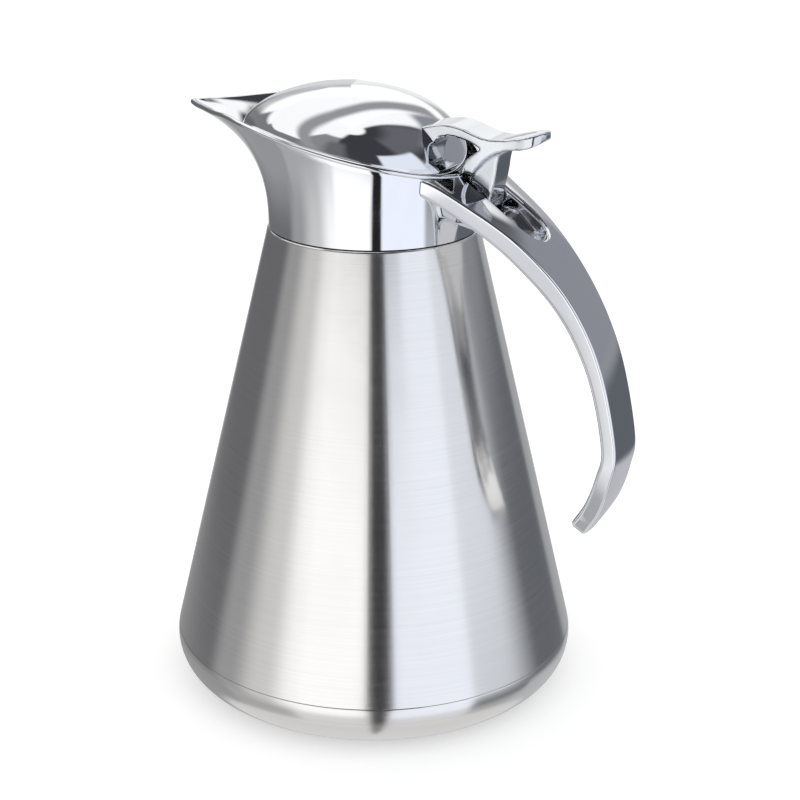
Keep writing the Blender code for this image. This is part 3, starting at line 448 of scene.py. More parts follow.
def grown(rings):
    """Starts with a circle on the first ring and extrudes it from ring to ring.

    A ring given as one point closes the shape to a pole.
    """
    bm = bmesh.new()
    count = max(len(ring) for ring in rings)
    rings = [ring if len(ring) == count else [ring[0]] * count for ring in rings]
    row = bmesh.ops.create_circle(bm, radius=1.0, segments=count)["verts"]
    for vert, point in zip(row, rings[0]):
        vert.co = point
    edges = [bm.edges.get((row[i], row[(i + 1) % count])) for i in range(count)]
    for ring in rings[1:]:
        made = bmesh.ops.extrude_edge_only(bm, edges=edges)["geom"]
        fresh = {g for g in made if isinstance(g, bmesh.types.BMVert)}
        row = [
            next(e.other_vert(v) for e in v.link_edges if e.other_vert(v) in fresh)
            for v in row
        ]
        for vert, point in zip(row, ring):
            vert.co = point
        edges = [bm.edges.get((row[i], row[(i + 1) % count])) for i in range(count)]
    return tidy(bm)


def rod(start, end, radius, segments=48):
    """Closed cylinder between two points."""
    bm = bmesh.new()
    bmesh.ops.create_cone(
        bm,
        cap_ends=True,
        segments=segments,
        radius1=radius,
        radius2=radius,
        depth=(end - start).length,
    )
    turn = (end - start).to_track_quat("Z", "Y").to_matrix().to_4x4()
    place = Matrix.Translation((start + end) / 2) @ turn
    bmesh.ops.transform(bm, matrix=place, verts=bm.verts)
    return bm


def as_object(bm, name="work"):
    mesh = bpy.data.meshes.new(name)
    bm.to_mesh(mesh)
    bm.free()
    made = bpy.data.objects.new(name, mesh)
    bpy.context.scene.collection.objects.link(made)
    return made


def result(work, extra=()):
    """Evaluates an object's modifiers into a new bmesh and removes the helpers."""
    bpy.context.view_layer.update()
    graph = bpy.context.evaluated_depsgraph_get()
    bm = bmesh.new()
    bm.from_object(work, graph)
    for item in (work, *extra):
        mesh = item.data
        bpy.data.objects.remove(item, do_unlink=True)
        bpy.data.meshes.remove(mesh)
    return bm


def carved(bm, *steps):
    """Applies exact Booleans, given as (operation, bmesh) in their order."""
    work = as_object(bm)
    helpers = []
    for operation, other in steps:
        helper = as_object(other, "helper")
        helpers.append(helper)
        step = work.modifiers.new(operation.title(), "BOOLEAN")
        step.operation = operation
        step.object = helper
        step.solver = "EXACT"
    return result(work, helpers)


def outlined(points, width):
    """An (x, z) outline extruded to both sides of the jug's middle plane."""
    bm = bmesh.new()
    verts = [bm.verts.new((x, -width / 2, z)) for x, z in points]
    bm.faces.new(verts)
    made = bmesh.ops.extrude_face_region(bm, geom=bm.faces[:])["geom"]
    moved = [g for g in made if isinstance(g, bmesh.types.BMVert)]
    bmesh.ops.translate(bm, vec=(0, width, 0), verts=moved)
    return tidy(bm)


def add_piece(name, bm, body, node, look, even=True):
    """Makes the finished piece, hangs it on its body and hides the node that it stands for.

    even weights the shading by face area, which suits flats with narrow roundings.
    """
    tidy(bm)
    bmesh.ops.translate(bm, vec=(AXIS_X, 0, 0), verts=bm.verts)
    made = as_object(bm, name)
    made.data.materials.append(bpy.data.materials[look])
    made.data.shade_smooth()
    made.data.set_sharp_from_angle(angle=CREASE)
    if even:
        normals = made.modifiers.new("Even shading", "WEIGHTED_NORMAL")
        normals.keep_sharp = True
        normals.weight = FLAT_WEIGHT
    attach(made, body)
    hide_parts(node)


# ---------------------------------------------------------------- materials
class Graph:
    """Adds nodes and links them by socket name."""

    def __init__(self, tree):
        self.tree = tree
        self.column = 0

    def add(self, kind, inputs=None, **settings):
        node = self.tree.nodes.new(kind)
        node.location = (self.column * 190, 0)
        self.column += 1
        for key, value in settings.items():
            setattr(node, key, value)
        for key, value in (inputs or {}).items():
            if isinstance(value, bpy.types.NodeSocket):
                self.tree.links.new(value, node.inputs[key])
            else:
                node.inputs[key].default_value = value
        return node

    def math(self, operation, a, b=0.0):
        return self.add("ShaderNodeMath", {0: a, 1: b}, operation=operation).outputs[0]

    def degrees(self, radians):
        return self.math("MULTIPLY", radians, math.degrees(1.0))

    def group(self, name, inputs):
        """Places a node group, whose sockets exist once the node has its tree."""
        tree = bpy.data.node_groups[name]
        return self.add("ShaderNodeGroup", inputs, node_tree=tree).outputs

    def ramp(self, value, low, high, out_low=0.0, out_high=1.0, smooth=False):
        node = self.add(
            "ShaderNodeMapRange",
            {
                "Value": value,
                "From Min": low,
                "From Max": high,
                "To Min": out_low,
                "To Max": out_high,
            },
            interpolation_type="SMOOTHSTEP" if smooth else "LINEAR",
        )
        return node.outputs["Result"]

    def mix(self, factor, a, b):
        node = self.add("ShaderNodeMix", data_type="RGBA")
        for index, value in ((0, factor), (6, a), (7, b)):
            if isinstance(value, bpy.types.NodeSocket):
                self.tree.links.new(value, node.inputs[index])
            else:
                node.inputs[index].default_value = value
        return node.outputs[2]


def shader_group(name, inputs, outputs):
    """Empty shader node group with (name, socket type, default) inputs."""
    group = bpy.data.node_groups.new(name, "ShaderNodeTree")
    for label, kind, default in inputs:
        socket = group.interface.new_socket(label, in_out="INPUT", socket_type=kind)
        if default is not None:
            socket.default_value = default
    for label, kind in outputs:
        group.interface.new_socket(label, in_out="OUTPUT", socket_type=kind)
    graph = Graph(group)
    return group, graph, graph.add("NodeGroupInput").outputs


FLOAT, VECTOR = "NodeSocketFloat", "NodeSocketVector"


def grain_group():
    """Fine grain stretched along one direction by the vector that comes in."""
    group, graph, given = shader_group(
        "Metal grain",
        [("Vector", VECTOR, None), ("Coarse", FLOAT, 0.35), ("Depth", FLOAT, 1.0)],
        [("Height", FLOAT), ("Shade", FLOAT)],
    )
    fine = graph.add(
        "ShaderNodeTexNoise",
        {"Vector": given["Vector"], "Scale": 1.0, "Detail": 3.0, "Roughness": 0.65},
    ).outputs[0]
    broad = graph.add(
        "ShaderNodeTexNoise",
        {"Vector": given["Vector"], "Scale": 0.21, "Detail": 2.0, "Roughness": 0.5},
    ).outputs[0]
    factor = given["Coarse"]
    sum_ = graph.math(
        "ADD",
        graph.math("MULTIPLY", fine, graph.math("SUBTRACT", 1.0, factor)),
        graph.math("MULTIPLY", broad, factor),
    )
    height = graph.math("MULTIPLY", sum_, given["Depth"])
    shade = graph.ramp(sum_, 0.3, 0.7)
    graph.add("NodeGroupOutput", {"Height": height, "Shade": shade})
    return group


def smudge_group():
    """Faint marks of handling and cleaning, 0 where the surface is clear."""
    group, graph, given = shader_group(
        "Handling marks",
        [("Vector", VECTOR, None), ("Scale", FLOAT, 60.0), ("Amount", FLOAT, 1.0)],
        [("Mask", FLOAT)],
    )
    cloud = graph.add(
        "ShaderNodeTexNoise",
        {
            "Vector": given["Vector"],
            "Scale": given["Scale"],
            "Detail": 5.0,
            "Roughness": 0.6,
            "Distortion": 0.6,
        },
    ).outputs[0]
    mask = graph.math(
        "MULTIPLY", graph.ramp(cloud, 0.42, 0.72, smooth=True), given["Amount"]
    )
    graph.add("NodeGroupOutput", {"Mask": mask})
    return group


def finish_material(name, shade, look):
    """One material: grain in the bump, grain and marks in colour and roughness.

    look holds the stretch of the grain, its depth in metres, how much it and
    the marks change the colour, and the roughness from clear to marked.
    """
    material = bpy.data.materials.new(name)
    material.use_nodes = True
    tree = material.node_tree
    tree.nodes.clear()
    graph = Graph(tree)
    place = graph.add("ShaderNodeTexCoord").outputs["Object"]
    centred = graph.add(
        "ShaderNodeMapping",
        {"Vector": place, "Location": (-AXIS_X, 0.0, 0.0)},
    ).outputs[0]
    stretched = graph.add(
        "ShaderNodeMapping", {"Vector": centred, "Scale": look["stretch"]}
    ).outputs[0]
    grain = graph.group(
        "Metal grain", {"Vector": stretched, "Coarse": look.get("coarse", 0.35)}
    )
    marks = graph.group("Handling marks", {"Vector": centred, "Scale": look["marks"]})
    bright = [min(c * (1 + look["tint"]), 1.0) for c in shade] + [1.0]
    dark = [c * (1 - look["tint"]) for c in shade] + [1.0]
    grained = graph.mix(grain["Shade"], dark, bright)
    dulled = [c * look.get("dulled", 0.96) for c in shade] + [1.0]
    base = graph.mix(
        graph.math("MULTIPLY", marks["Mask"], look.get("cover", 0.3)),
        grained,
        dulled,
    )
    low, high = look["roughness"]
    rough = graph.math(
        "ADD",
        graph.ramp(marks["Mask"], 0.0, 1.0, low, high),
        graph.math(
            "MULTIPLY",
            graph.math("SUBTRACT", grain["Shade"], 0.5),
            look.get("rough_grain", 0.02),
        ),
    )
    bump = graph.add(
        "ShaderNodeBump",
        {
            "Strength": 1.0,
            "Distance": look["depth"],
            "Height": grain["Height"],
        },
    )
    shader = graph.add(
        "ShaderNodeBsdfPrincipled",
        {"Base Color": base, "Roughness": rough, "Normal": bump.outputs[0]},
    )
    for key, value in look["shader"].items():
        shader.inputs[key].default_value = value
    graph.add("ShaderNodeOutputMaterial", {"Surface": shader.outputs[0]})
    return material


METAL = {"Metallic": 1.0}
LOOKS = {
    "Polished chrome": {
        "shade": "chrome",
        "stretch": (900.0, 900.0, 900.0),
        "depth": 0.0000012,
        "tint": 0.01,
        "marks": 55.0,
        "roughness": (0.045, 0.085),
        "rough_grain": 0.012,
        "shader": METAL,
    },
    "Cast chrome": {
        "shade": "cast",
        "stretch": (700.0, 700.0, 700.0),
        "depth": 0.000003,
        "tint": 0.02,
        "marks": 75.0,
        "roughness": (0.085, 0.13),
        "rough_grain": 0.02,
        "shader": METAL,
    },
    "Brushed steel": {
        "shade": "brushed",
        "stretch": (9.0, 9.0, 3600.0),
        "coarse": 0.25,
        "depth": 0.000009,
        "tint": 0.045,
        "marks": 30.0,
        "dulled": 0.97,
        "cover": 0.25,
        "roughness": (0.175, 0.20),
        "rough_grain": 0.05,
        "shader": {"Metallic": 1.0, "Anisotropic": 0.7, "Anisotropic Rotation": 0.25},
    },
    "Liner steel": {
        "shade": "liner",
        "stretch": (20.0, 20.0, 1500.0),
        "coarse": 0.5,
        "depth": 0.00002,
        "tint": 0.05,
        "marks": 45.0,
        "roughness": (0.30, 0.38),
        "rough_grain": 0.05,
        "shader": METAL,
    },
    "Screw steel": {
        "shade": "screw",
        "stretch": (2500.0, 2500.0, 2500.0),
        "depth": 0.00001,
        "tint": 0.06,
        "marks": 300.0,
        "roughness": (0.26, 0.36),
        "shader": METAL,
    },
    "Black plastic": {
        "shade": "plastic",
        "stretch": (2600.0, 2600.0, 2600.0),
        "depth": 0.00004,
        "tint": 0.18,
        "marks": 70.0,
        "dulled": 1.4,
        "roughness": (0.38, 0.50),
        "rough_grain": 0.06,
        "shader": {"Specular IOR Level": 0.5},
    },
    "Grey silicone": {
        "shade": "silicone",
        "stretch": (1800.0, 1800.0, 1800.0),
        "depth": 0.00003,
        "tint": 0.08,
        "marks": 120.0,
        "dulled": 1.15,
        "roughness": (0.52, 0.66),
        "shader": {"Specular IOR Level": 0.4, "Sheen Weight": 0.15},
    },
    "Insulating foam": {
        "shade": "foam",
        "stretch": (1100.0, 1100.0, 1100.0),
        "depth": 0.00025,
        "tint": 0.12,
        "marks": 90.0,
        "dulled": 0.85,
        "roughness": (0.82, 0.95),
        "shader": {"Specular IOR Level": 0.2},
    },
}


# ---------------------------------------------------------------- body
def cone_radius(s, z):
    """Outer radius of the shell's straight wall."""
    share = (z - s.corner_radius) / (s.shoulder_z - s.corner_radius)
    return s.base_radius + (s.shoulder_radius - s.base_radius) * share


def seam_place(s):
    """Slope of the cone in degrees, and the point where the base band begins."""
    slope = math.degrees(
        math.atan2(s.base_radius - s.shoulder_radius, s.shoulder_z - s.corner_radius)
    )
    centre = (s.base_radius - s.corner_radius, s.corner_radius)
    return slope, centre, arc(centre, s.corner_radius, slope, slope, 1)[0]


def build_shell(s):
    wall = s.shell_wall
    sleeve = s.neck_radius + s.liner_wall + FIT
    mouth = s.shoulder_z + s.neck_height
    _, _, seam = seam_place(s)
    profile = rounded(
        [
            (sleeve + wall, mouth, 0.0002),
            (sleeve + wall, s.shoulder_z, 0.0010),
            (s.shoulder_radius, s.shoulder_z, 0.0009),
            (seam[0], seam[1] + SEAM_GAP, SEAM_ROUND),
            (seam[0] - wall, seam[1] + SEAM_GAP, 0.0002),
            (s.shoulder_radius - wall - 0.0002, s.shoulder_z - wall, 0.0012),
            (sleeve, s.shoulder_z - wall, 0.0010),
            (sleeve, mouth, 0.0002),
        ]
    )
    add_piece(
        "shell",
        spun(profile, BODY_STEPS),
        "jug",
        "outer_shell",
        "Brushed steel",
    )


def build_base(s):
    wall = s.shell_wall
    slope, centre, seam = seam_place(s)
    foot = s.base_radius - s.corner_radius
    inside = foot - s.foot_width
    rim_r, rim_z = seam[0], seam[1] - SEAM_GAP
    rise = s.underside_rise
    step, toe = (inside - 0.0030, rise, 0.0012), (inside, 0.0, 0.0010)
    profile = rounded([(0.0, rise), step, toe, (foot, 0.0)])[:-1]
    profile += arc(centre, s.corner_radius, -90, slope - 2.0, 20)
    profile += [
        (rim_r + 0.00001, rim_z - 0.0001),
        (rim_r - 0.00008, rim_z),
        (rim_r - wall, rim_z),
    ]
    profile += arc(centre, s.corner_radius - wall, slope - 2.0, -90, 12)
    profile += [
        (inside + 0.0012, wall),
        (inside - 0.0022, rise + wall),
        (0.0, rise + wall),
    ]
    add_piece(
        "base_band",
        spun(profile, BODY_STEPS, closed=False),
        "jug",
        "base_cup",
        "Brushed steel",
    )
    top = rise - FIT
    disc = rounded(
        [
            (0.0, top),
            (s.disc_radius, top, 0.0002),
            (s.disc_radius, top - DISC_THICKNESS, 0.0006),
            (s.disc_radius * 0.9, top - DISC_THICKNESS, 0.0004),
            (s.disc_radius * 0.86, top - 0.0008, 0.0004),
            (0.0, top - 0.0008),
        ]
    )
    add_piece(
        "base_cover",
        spun(disc, 96, closed=False),
        "jug",
        "base_disc",
        "Polished chrome",
    )


def build_flask(s):
    wall = s.liner_wall
    gap = s.vacuum_gap + s.shell_wall
    bottom = s.underside_rise + s.shell_wall + s.vacuum_gap
    knee = 0.0120
    low_z, top_z = bottom + knee, s.shoulder_z - 0.0145
    low_r, top_r = cone_radius(s, low_z) - gap, cone_radius(s, top_z) - gap
    mouth = s.shoulder_z + s.neck_height
    neck = s.neck_radius + wall
    bend_z = s.shoulder_z - 0.0085
    outer = [
        (0.0, bottom),
        *arc((low_r - knee, low_z), knee, -90, 12, 14),
        *rounded(
            [
                (low_r, low_z),
                (top_r, top_z, 0.0060),
                (neck + 0.0008, bend_z, 0.0040),
                (neck, mouth),
            ]
        )[1:],
    ]
    inner = [
        *rounded(
            [
                (s.neck_radius, mouth),
                (s.neck_radius + 0.0008, bend_z, 0.0048),
                (top_r - wall, top_z, 0.0052),
                (low_r - wall, low_z),
            ]
        )[:-1],
        *arc((low_r - knee, low_z), knee - wall, 12, -90, 14),
        (0.0, bottom + wall),
    ]
    add_piece(
        "flask",
        spun(outer + inner, 96, closed=False),
        "jug",
        "inner_flask",
        "Liner steel",
    )
    low = mouth + FIT
    sleeve = neck + FIT + s.shell_wall
    ring = rounded(
        [
            (sleeve, low + RING_HEIGHT, 0.0003),
            (sleeve, low, 0.0001),
            (s.neck_radius, low, 0.0001),
            (s.neck_radius, low + RING_HEIGHT, 0.0003),
        ],
        4,
    )
    add_piece("flask_rim", spun(ring, 96), "jug", "mouth_ring", "Liner steel")


# ---------------------------------------------------------------- neck and collar
def build_neck(s):
    mouth = s.shoulder_z + s.neck_height + FIT + RING_HEIGHT + FIT
    sleeve = s.neck_radius + s.liner_wall + FIT + s.shell_wall + FIT
    fill = s.collar_radius - s.collar_wall - FIT
    low, top = s.shoulder_z + FIT, s.shoulder_z + s.adapter_top
    groove = fill - 0.0014
    profile = rounded(
        [
            (fill, top, 0.0005),
            (fill, top - 0.0022, 0.0004),
            (s.adapter_web, top - 0.0022, 0.0004),
            (s.adapter_web, low + 0.0044, 0.0004),
            (fill, low + 0.0044, 0.0003),
            (fill, low + 0.0034, 0.0001),
            (groove, low + 0.0034, 0.0001),
            (groove, low + 0.0010, 0.0001),
            (fill, low + 0.0010, 0.0001),
            (fill, low, 0.0003),
            (sleeve + 0.0006, low, 0.0004),
            (sleeve, low + 0.0014, 0.0003),
            (sleeve, mouth, 0.0002),
            (s.adapter_lip, mouth, 0.0003),
            (s.adapter_lip, top, 0.0008),
            (s.adapter_lip + 0.0024, top, 0.0006),
            (s.adapter_lip + 0.0030, top - 0.0007, 0.0004),
            (fill - 0.0030, top - 0.0007, 0.0004),
            (fill - 0.0024, top, 0.0004),
        ],
        4,
    )
    add_piece(
        "pouring_ring", spun(profile), "jug", "neck_ring", "Black plastic"
    )
    mid, half = low + 0.0022, 0.0008
    seal = rounded(
        [
            (fill, mid + half, 0.0005),
            (fill, mid - half, 0.0005),
            (groove + FIT, mid - half, 0.0001),
            (groove + FIT, mid + half, 0.0001),
        ],
        4,
    )
    add_piece(
        "neck_seal", spun(seal), "jug", "neck_gasket", "Grey silicone"
    )


def collar_ring(s, angles, share, inset=0.0, level=False):
    """Ring on the collar's wall; inset is measured square to it, or level."""
    ring = []
    for a in angles:
        r, z = collar_section(s, fold(a), share)
        nr, nz = (1.0, 0.0) if level else collar_normal(s, fold(a), share)
        ring.append(polar(r - nr * inset, a, z - nz * inset))
    return ring


def bead_ring(s, angles, turn):
    """Ring on the rolled rim; turn 0 faces out, 90 up and 180 in."""
    ring = []
    sine, cosine = math.sin(math.radians(turn)), math.cos(math.radians(turn))
    for a in angles:
        r, z = collar_section(s, fold(a), 1.0)
        nr, nz = collar_normal(s, fold(a), 1.0)
        cr, cz = r - nr * s.bead_radius * 0.6, z - nz * s.bead_radius * 0.6
        r = cr + s.bead_radius * (cosine * nr - sine * nz)
        z = cz + s.bead_radius * (cosine * nz + sine * nr)
        ring.append(polar(r, a, z))
    return ring


def build_collar(s):
    angles = plan_angles(80)
    shares = [0.012, 0.03] + [i / 26 for i in range(2, 25)] + [0.945]
    rings = [collar_ring(s, angles, 0.0, 0.0003, True)]
    rings += [collar_ring(s, angles, t) for t in (0.003, *shares)]
    rings += [bead_ring(s, angles, turn) for turn in range(-60, 211, 27)]
    wall = s.collar_wall
    rings += [collar_ring(s, angles, t, wall) for t in reversed(shares[:-1])]
    rings += [
        collar_ring(s, angles, 0.0, wall, True),
        collar_ring(s, angles, 0.0, 0.0003, True),
    ]
    add_piece(
        "collar",
        grown(rings),
        "jug",
        "spout_collar",
        "Polished chrome",
        even=False,
    )


# ---------------------------------------------------------------- handle
def handle_path(s, samples):
    """Outer face of the handle in the middle plane, from the collar to its end."""
    r, z = s.collar_radius, s.shoulder_z
    reach, drop = s.handle_reach, s.handle_drop
    points = [
        (r - 0.0190, 0, z + 0.0240),
        (r - 0.0060, 0, z + 0.0226),
        (r + 0.0061, 0, z + 0.0163),
        (r + 0.0245, 0, z + 0.0037),
        (r + 0.0400, 0, z - 0.0133),
        (r + 0.0506, 0, z - 0.0340),
        (r + reach, 0, z - drop * 0.649),
        (r + reach - 0.0011, 0, z - drop * 0.778),
        (r + reach - 0.0044, 0, z - drop * 0.895),
        (r + reach - 0.0102, 0, z - drop),
    ]
    return smooth_path(points, samples)


def handle_section(half, thick, boss, crown, boss_width):
    """Cross-section points (y, out): crowned outer face, crisp edges, flat inside."""
    top, low, edge = 0.0009, 0.0016, 0.0004
    flat = half - top
    side = []
    for i in range(10):
        t = i / 9
        side.append((flat * t, (crown + edge) * (1 - t * t) - edge))
    for i in range(1, 6):
        a = math.radians(90 - 18 * i)
        side.append((flat + top * math.cos(a), -edge - top + top * math.sin(a)))
    for i in range(6):
        a = math.radians(-18 * i)
        side.append((half - low + low * math.cos(a), -thick + low + low * math.sin(a)))
    mid = min(boss_width / 2, half - low - 0.0030)
    for i in range(7):
        t = i / 6
        drop = boss * t * t * (3 - 2 * t)
        side.append((mid + 0.0016 - 0.0024 * t, -thick - drop))
    side += [(mid * 0.5, -thick - boss), (0.0, -thick - boss)]
    left = [(-y, v) for y, v in reversed(side[1:-1])]
    return side + left


def handle_rings(s):
    path = handle_path(s, HANDLE_STEPS)
    last = len(path) - 1
    widths = [
        (0.0, s.yoke_width),
        (0.18, s.yoke_width - 0.0045),
        (0.33, 0.0300),
        (0.45, 0.0222),
        (0.60, s.grip_width),
        (0.80, s.grip_width),
        (0.91, s.grip_width - 0.0016),
        (1.0, s.end_width),
    ]
    w = s.handle_wall
    walls = [
        (0.0, w),
        (0.22, w),
        (0.36, w + 0.0009),
        (0.50, w + 0.0002),
        (0.60, w - 0.0006),
        (0.72, w - 0.0004),
        (0.86, w + 0.0001),
        (1.0, w + 0.0001),
    ]
    bosses = [(0.0, s.boss_depth), (0.20, s.boss_depth), (0.31, 0.0), (1.0, 0.0)]
    crowns = [(0.0, 0.0016), (0.24, 0.0016), (0.38, 0.0006), (0.48, 0.0), (1.0, 0.0)]

    def ring(i, inset=0.0, ahead_by=0.0):
        share = i / last
        ahead = (path[min(i + 1, last)] - path[max(i - 1, 0)]).normalized()
        out = Vector((-ahead.z, 0.0, ahead.x))
        if out.z < 0 and share < 0.5:
            out = -out
        half, thick = along(widths, share) / 2, along(walls, share)
        shape = handle_section(
            half, thick, along(bosses, share), along(crowns, share), s.boss_width
        )
        shrink_y = (half - inset) / half
        shrink_v = (thick - 2 * inset) / thick
        made = []
        for y, v in shape:
            v = (v + thick / 2) * shrink_v - thick / 2
            made.append(
                path[i] + ahead * ahead_by + Vector((0, y * shrink_y, 0)) + out * v
            )
        return made

    end = 0.0012
    rings = [ring(i) for i in range(last - 1)]
    for k in range(1, 6):
        a = math.radians(18 * k)
        rings.append(ring(last, end * (1 - math.cos(a)), -end + end * math.sin(a)))
    rings.append(ring(last, 0.0030, 0.0))
    return rings


def surface_height(tree, x, y):
    hit = tree.ray_cast(Vector((x, y, 0.30)), Vector((0, 0, -1)))[0]
    return hit.z


def pocket_cutter(s, handle):
    """Rounded pocket for the lever, flared at the top so that its edge is a lip."""
    tree = BVHTree.FromBMesh(handle)
    r, z, w = s.collar_radius, s.shoulder_z, s.slot_width / 2
    hx, hz, knuckle = HINGE.x, HINGE.z, s.knuckle_radius
    floor = [
        (r - 0.0040, hz - 0.0020),
        (hx - knuckle - 0.0006, hz - 0.0025),
        (hx - 0.0026, hz - knuckle - 0.0007),
        (hx + 0.0026, hz - knuckle - 0.0007),
        (hx + 0.0080, hz - knuckle - 0.0014),
        (r + s.slot_end - 0.0060, z + 0.0022),
        (r + s.slot_end, z + 0.0030),
    ]
    x0, xc = r - 0.0040, r + s.slot_end - w
    count = 18
    plan = [
        (Vector((x0 + (xc - x0) * i / count, -w)), Vector((0, -1)))
        for i in range(count)
    ]
    for i in range(25):
        a = math.radians(-90 + 7.5 * i)
        out = Vector((math.cos(a), math.sin(a)))
        plan.append((Vector((xc, 0)) + out * w, out))
    plan += [(Vector((p.x, w)), Vector((0, 1))) for p, _ in reversed(plan[:count])]

    def floor_z(x):
        return along(floor, x)

    def core(p):
        return Vector((min(max(p.x, x0 + w / 2), xc), 0.0))

    fillet, lip = 0.0011, s.slot_lip
    rings = [[core(p).to_3d() + Vector((0, 0, floor_z(core(p).x))) for p, _ in plan]]
    ring = []
    for p, out in plan:
        q = core(p).lerp(p - out * fillet, 0.5)
        ring.append(Vector((q.x, q.y, floor_z(q.x))))
    rings.append(ring)
    for k in range(5):
        a = math.radians(22.5 * k)
        ring = []
        for p, out in plan:
            q = p - out * fillet * (1 - math.sin(a))
            ring.append(Vector((q.x, q.y, floor_z(q.x) + fillet * (1 - math.cos(a)))))
        rings.append(ring)
    for degrees in (90, 75, 60, 45, 32, 20):
        a = math.radians(degrees)
        ring = []
        for p, out in plan:
            q = p + out * lip * (1 - math.sin(a))
            top = surface_height(tree, q.x, q.y)
            ring.append(Vector((q.x, q.y, top - lip * (1 - math.cos(a)))))
        rings.append(ring)
    rings.append([p + Vector((0, 0, 0.0300)) for p in rings[-1]])
    rings.append([core(p).to_3d() + Vector((0, 0, z + 0.0700)) for p, _ in plan])
    return grown(rings)


def collar_cutter(s):
    """The room that the collar takes up, with the gap to the handle round it."""
    angles = plan_angles(72)
    rings = []
    low = collar_ring(s, angles, 0.0, -FIT, True)
    rings.append([Vector((0, 0, s.shoulder_z - 0.004))])
    rings.append([p + Vector((0, 0, -0.004)) for p in low])
    rings += [collar_ring(s, angles, t / 12, -FIT, True) for t in range(12)]
    for lift in (-0.0006, 0.0300):
        ring = []
        for a in angles:
            r, z = collar_section(s, fold(a), 1.0)
            ring.append(polar(r + s.bead_radius * 0.45 + FIT, a, z + lift))
        rings.append(ring)
    rings.append([Vector((0, 0, s.shoulder_z + 0.07))])
    return grown(rings)


def build_handle(s):
    rings = handle_rings(s)
    first, final = rings[0], rings[-1]
    middle = [sum(ring, Vector()) / len(ring) for ring in (first, final)]
    body = grown([[middle[0]], *rings, [middle[1]]])
    pocket = pocket_cutter(s, body)
    bore = rod(
        HINGE + Vector((0, -s.pin_length / 2 - FIT, 0)),
        HINGE + Vector((0, BORE_END, 0)),
        s.pin_radius + FIT,
    )
    body = carved(
        body,
        ("DIFFERENCE", collar_cutter(s)),
        ("DIFFERENCE", pocket),
        ("DIFFERENCE", bore),
    )
    add_piece("handle_cast", body, "jug", "handle", "Polished chrome")
    start = s.pin_length / 2 + FIT
    r, long = s.pin_radius, PLUG_LENGTH
    profile = rounded([(0.0, 0.0), (r, 0.0, 0.0002), (r, long, 0.0004), (0.0, long)])
    plug = spun(profile, 48, closed=False)
    turn = Vector((0, 1, 0)).to_track_quat("Z", "Y").to_matrix().to_4x4()
    place = Matrix.Translation(HINGE + Vector((0, start, 0))) @ turn
    bmesh.ops.transform(plug, matrix=place, verts=plug.verts)
    add_piece("pin_cover", plug, "jug", "pin_plug", "Polished chrome")


# ---------------------------------------------------------------- lid
def build_dome(s):
    angles = [2.5 * i for i in range(144)]
    shares = [math.sin(math.radians(a)) for a in range(3, 90, 3)] + [1.0]
    apex, outer = dome_rings(s, 0.0, angles, shares)
    under, inner = dome_rings(s, s.lid_wall, angles, shares)

    def dropped(ring, drop, inset=0.0):
        made = []
        for p, a in zip(ring, angles):
            made.append(p + polar(-inset, a, -drop))
        return made

    lip, turn = s.lid_lip, 0.0003
    rings = [[apex], *outer]
    rings += [
        dropped(outer[-1], lip * 0.3),
        dropped(outer[-1], lip - turn),
        dropped(outer[-1], lip - turn * 0.3, turn * 0.3),
        dropped(outer[-1], lip, turn),
        dropped(inner[-1], lip),
    ]
    rings += [*reversed(inner), [under]]
    add_piece(
        "dome",
        grown(rings),
        "lid",
        "lid_dome",
        "Polished chrome",
        even=False,
    )


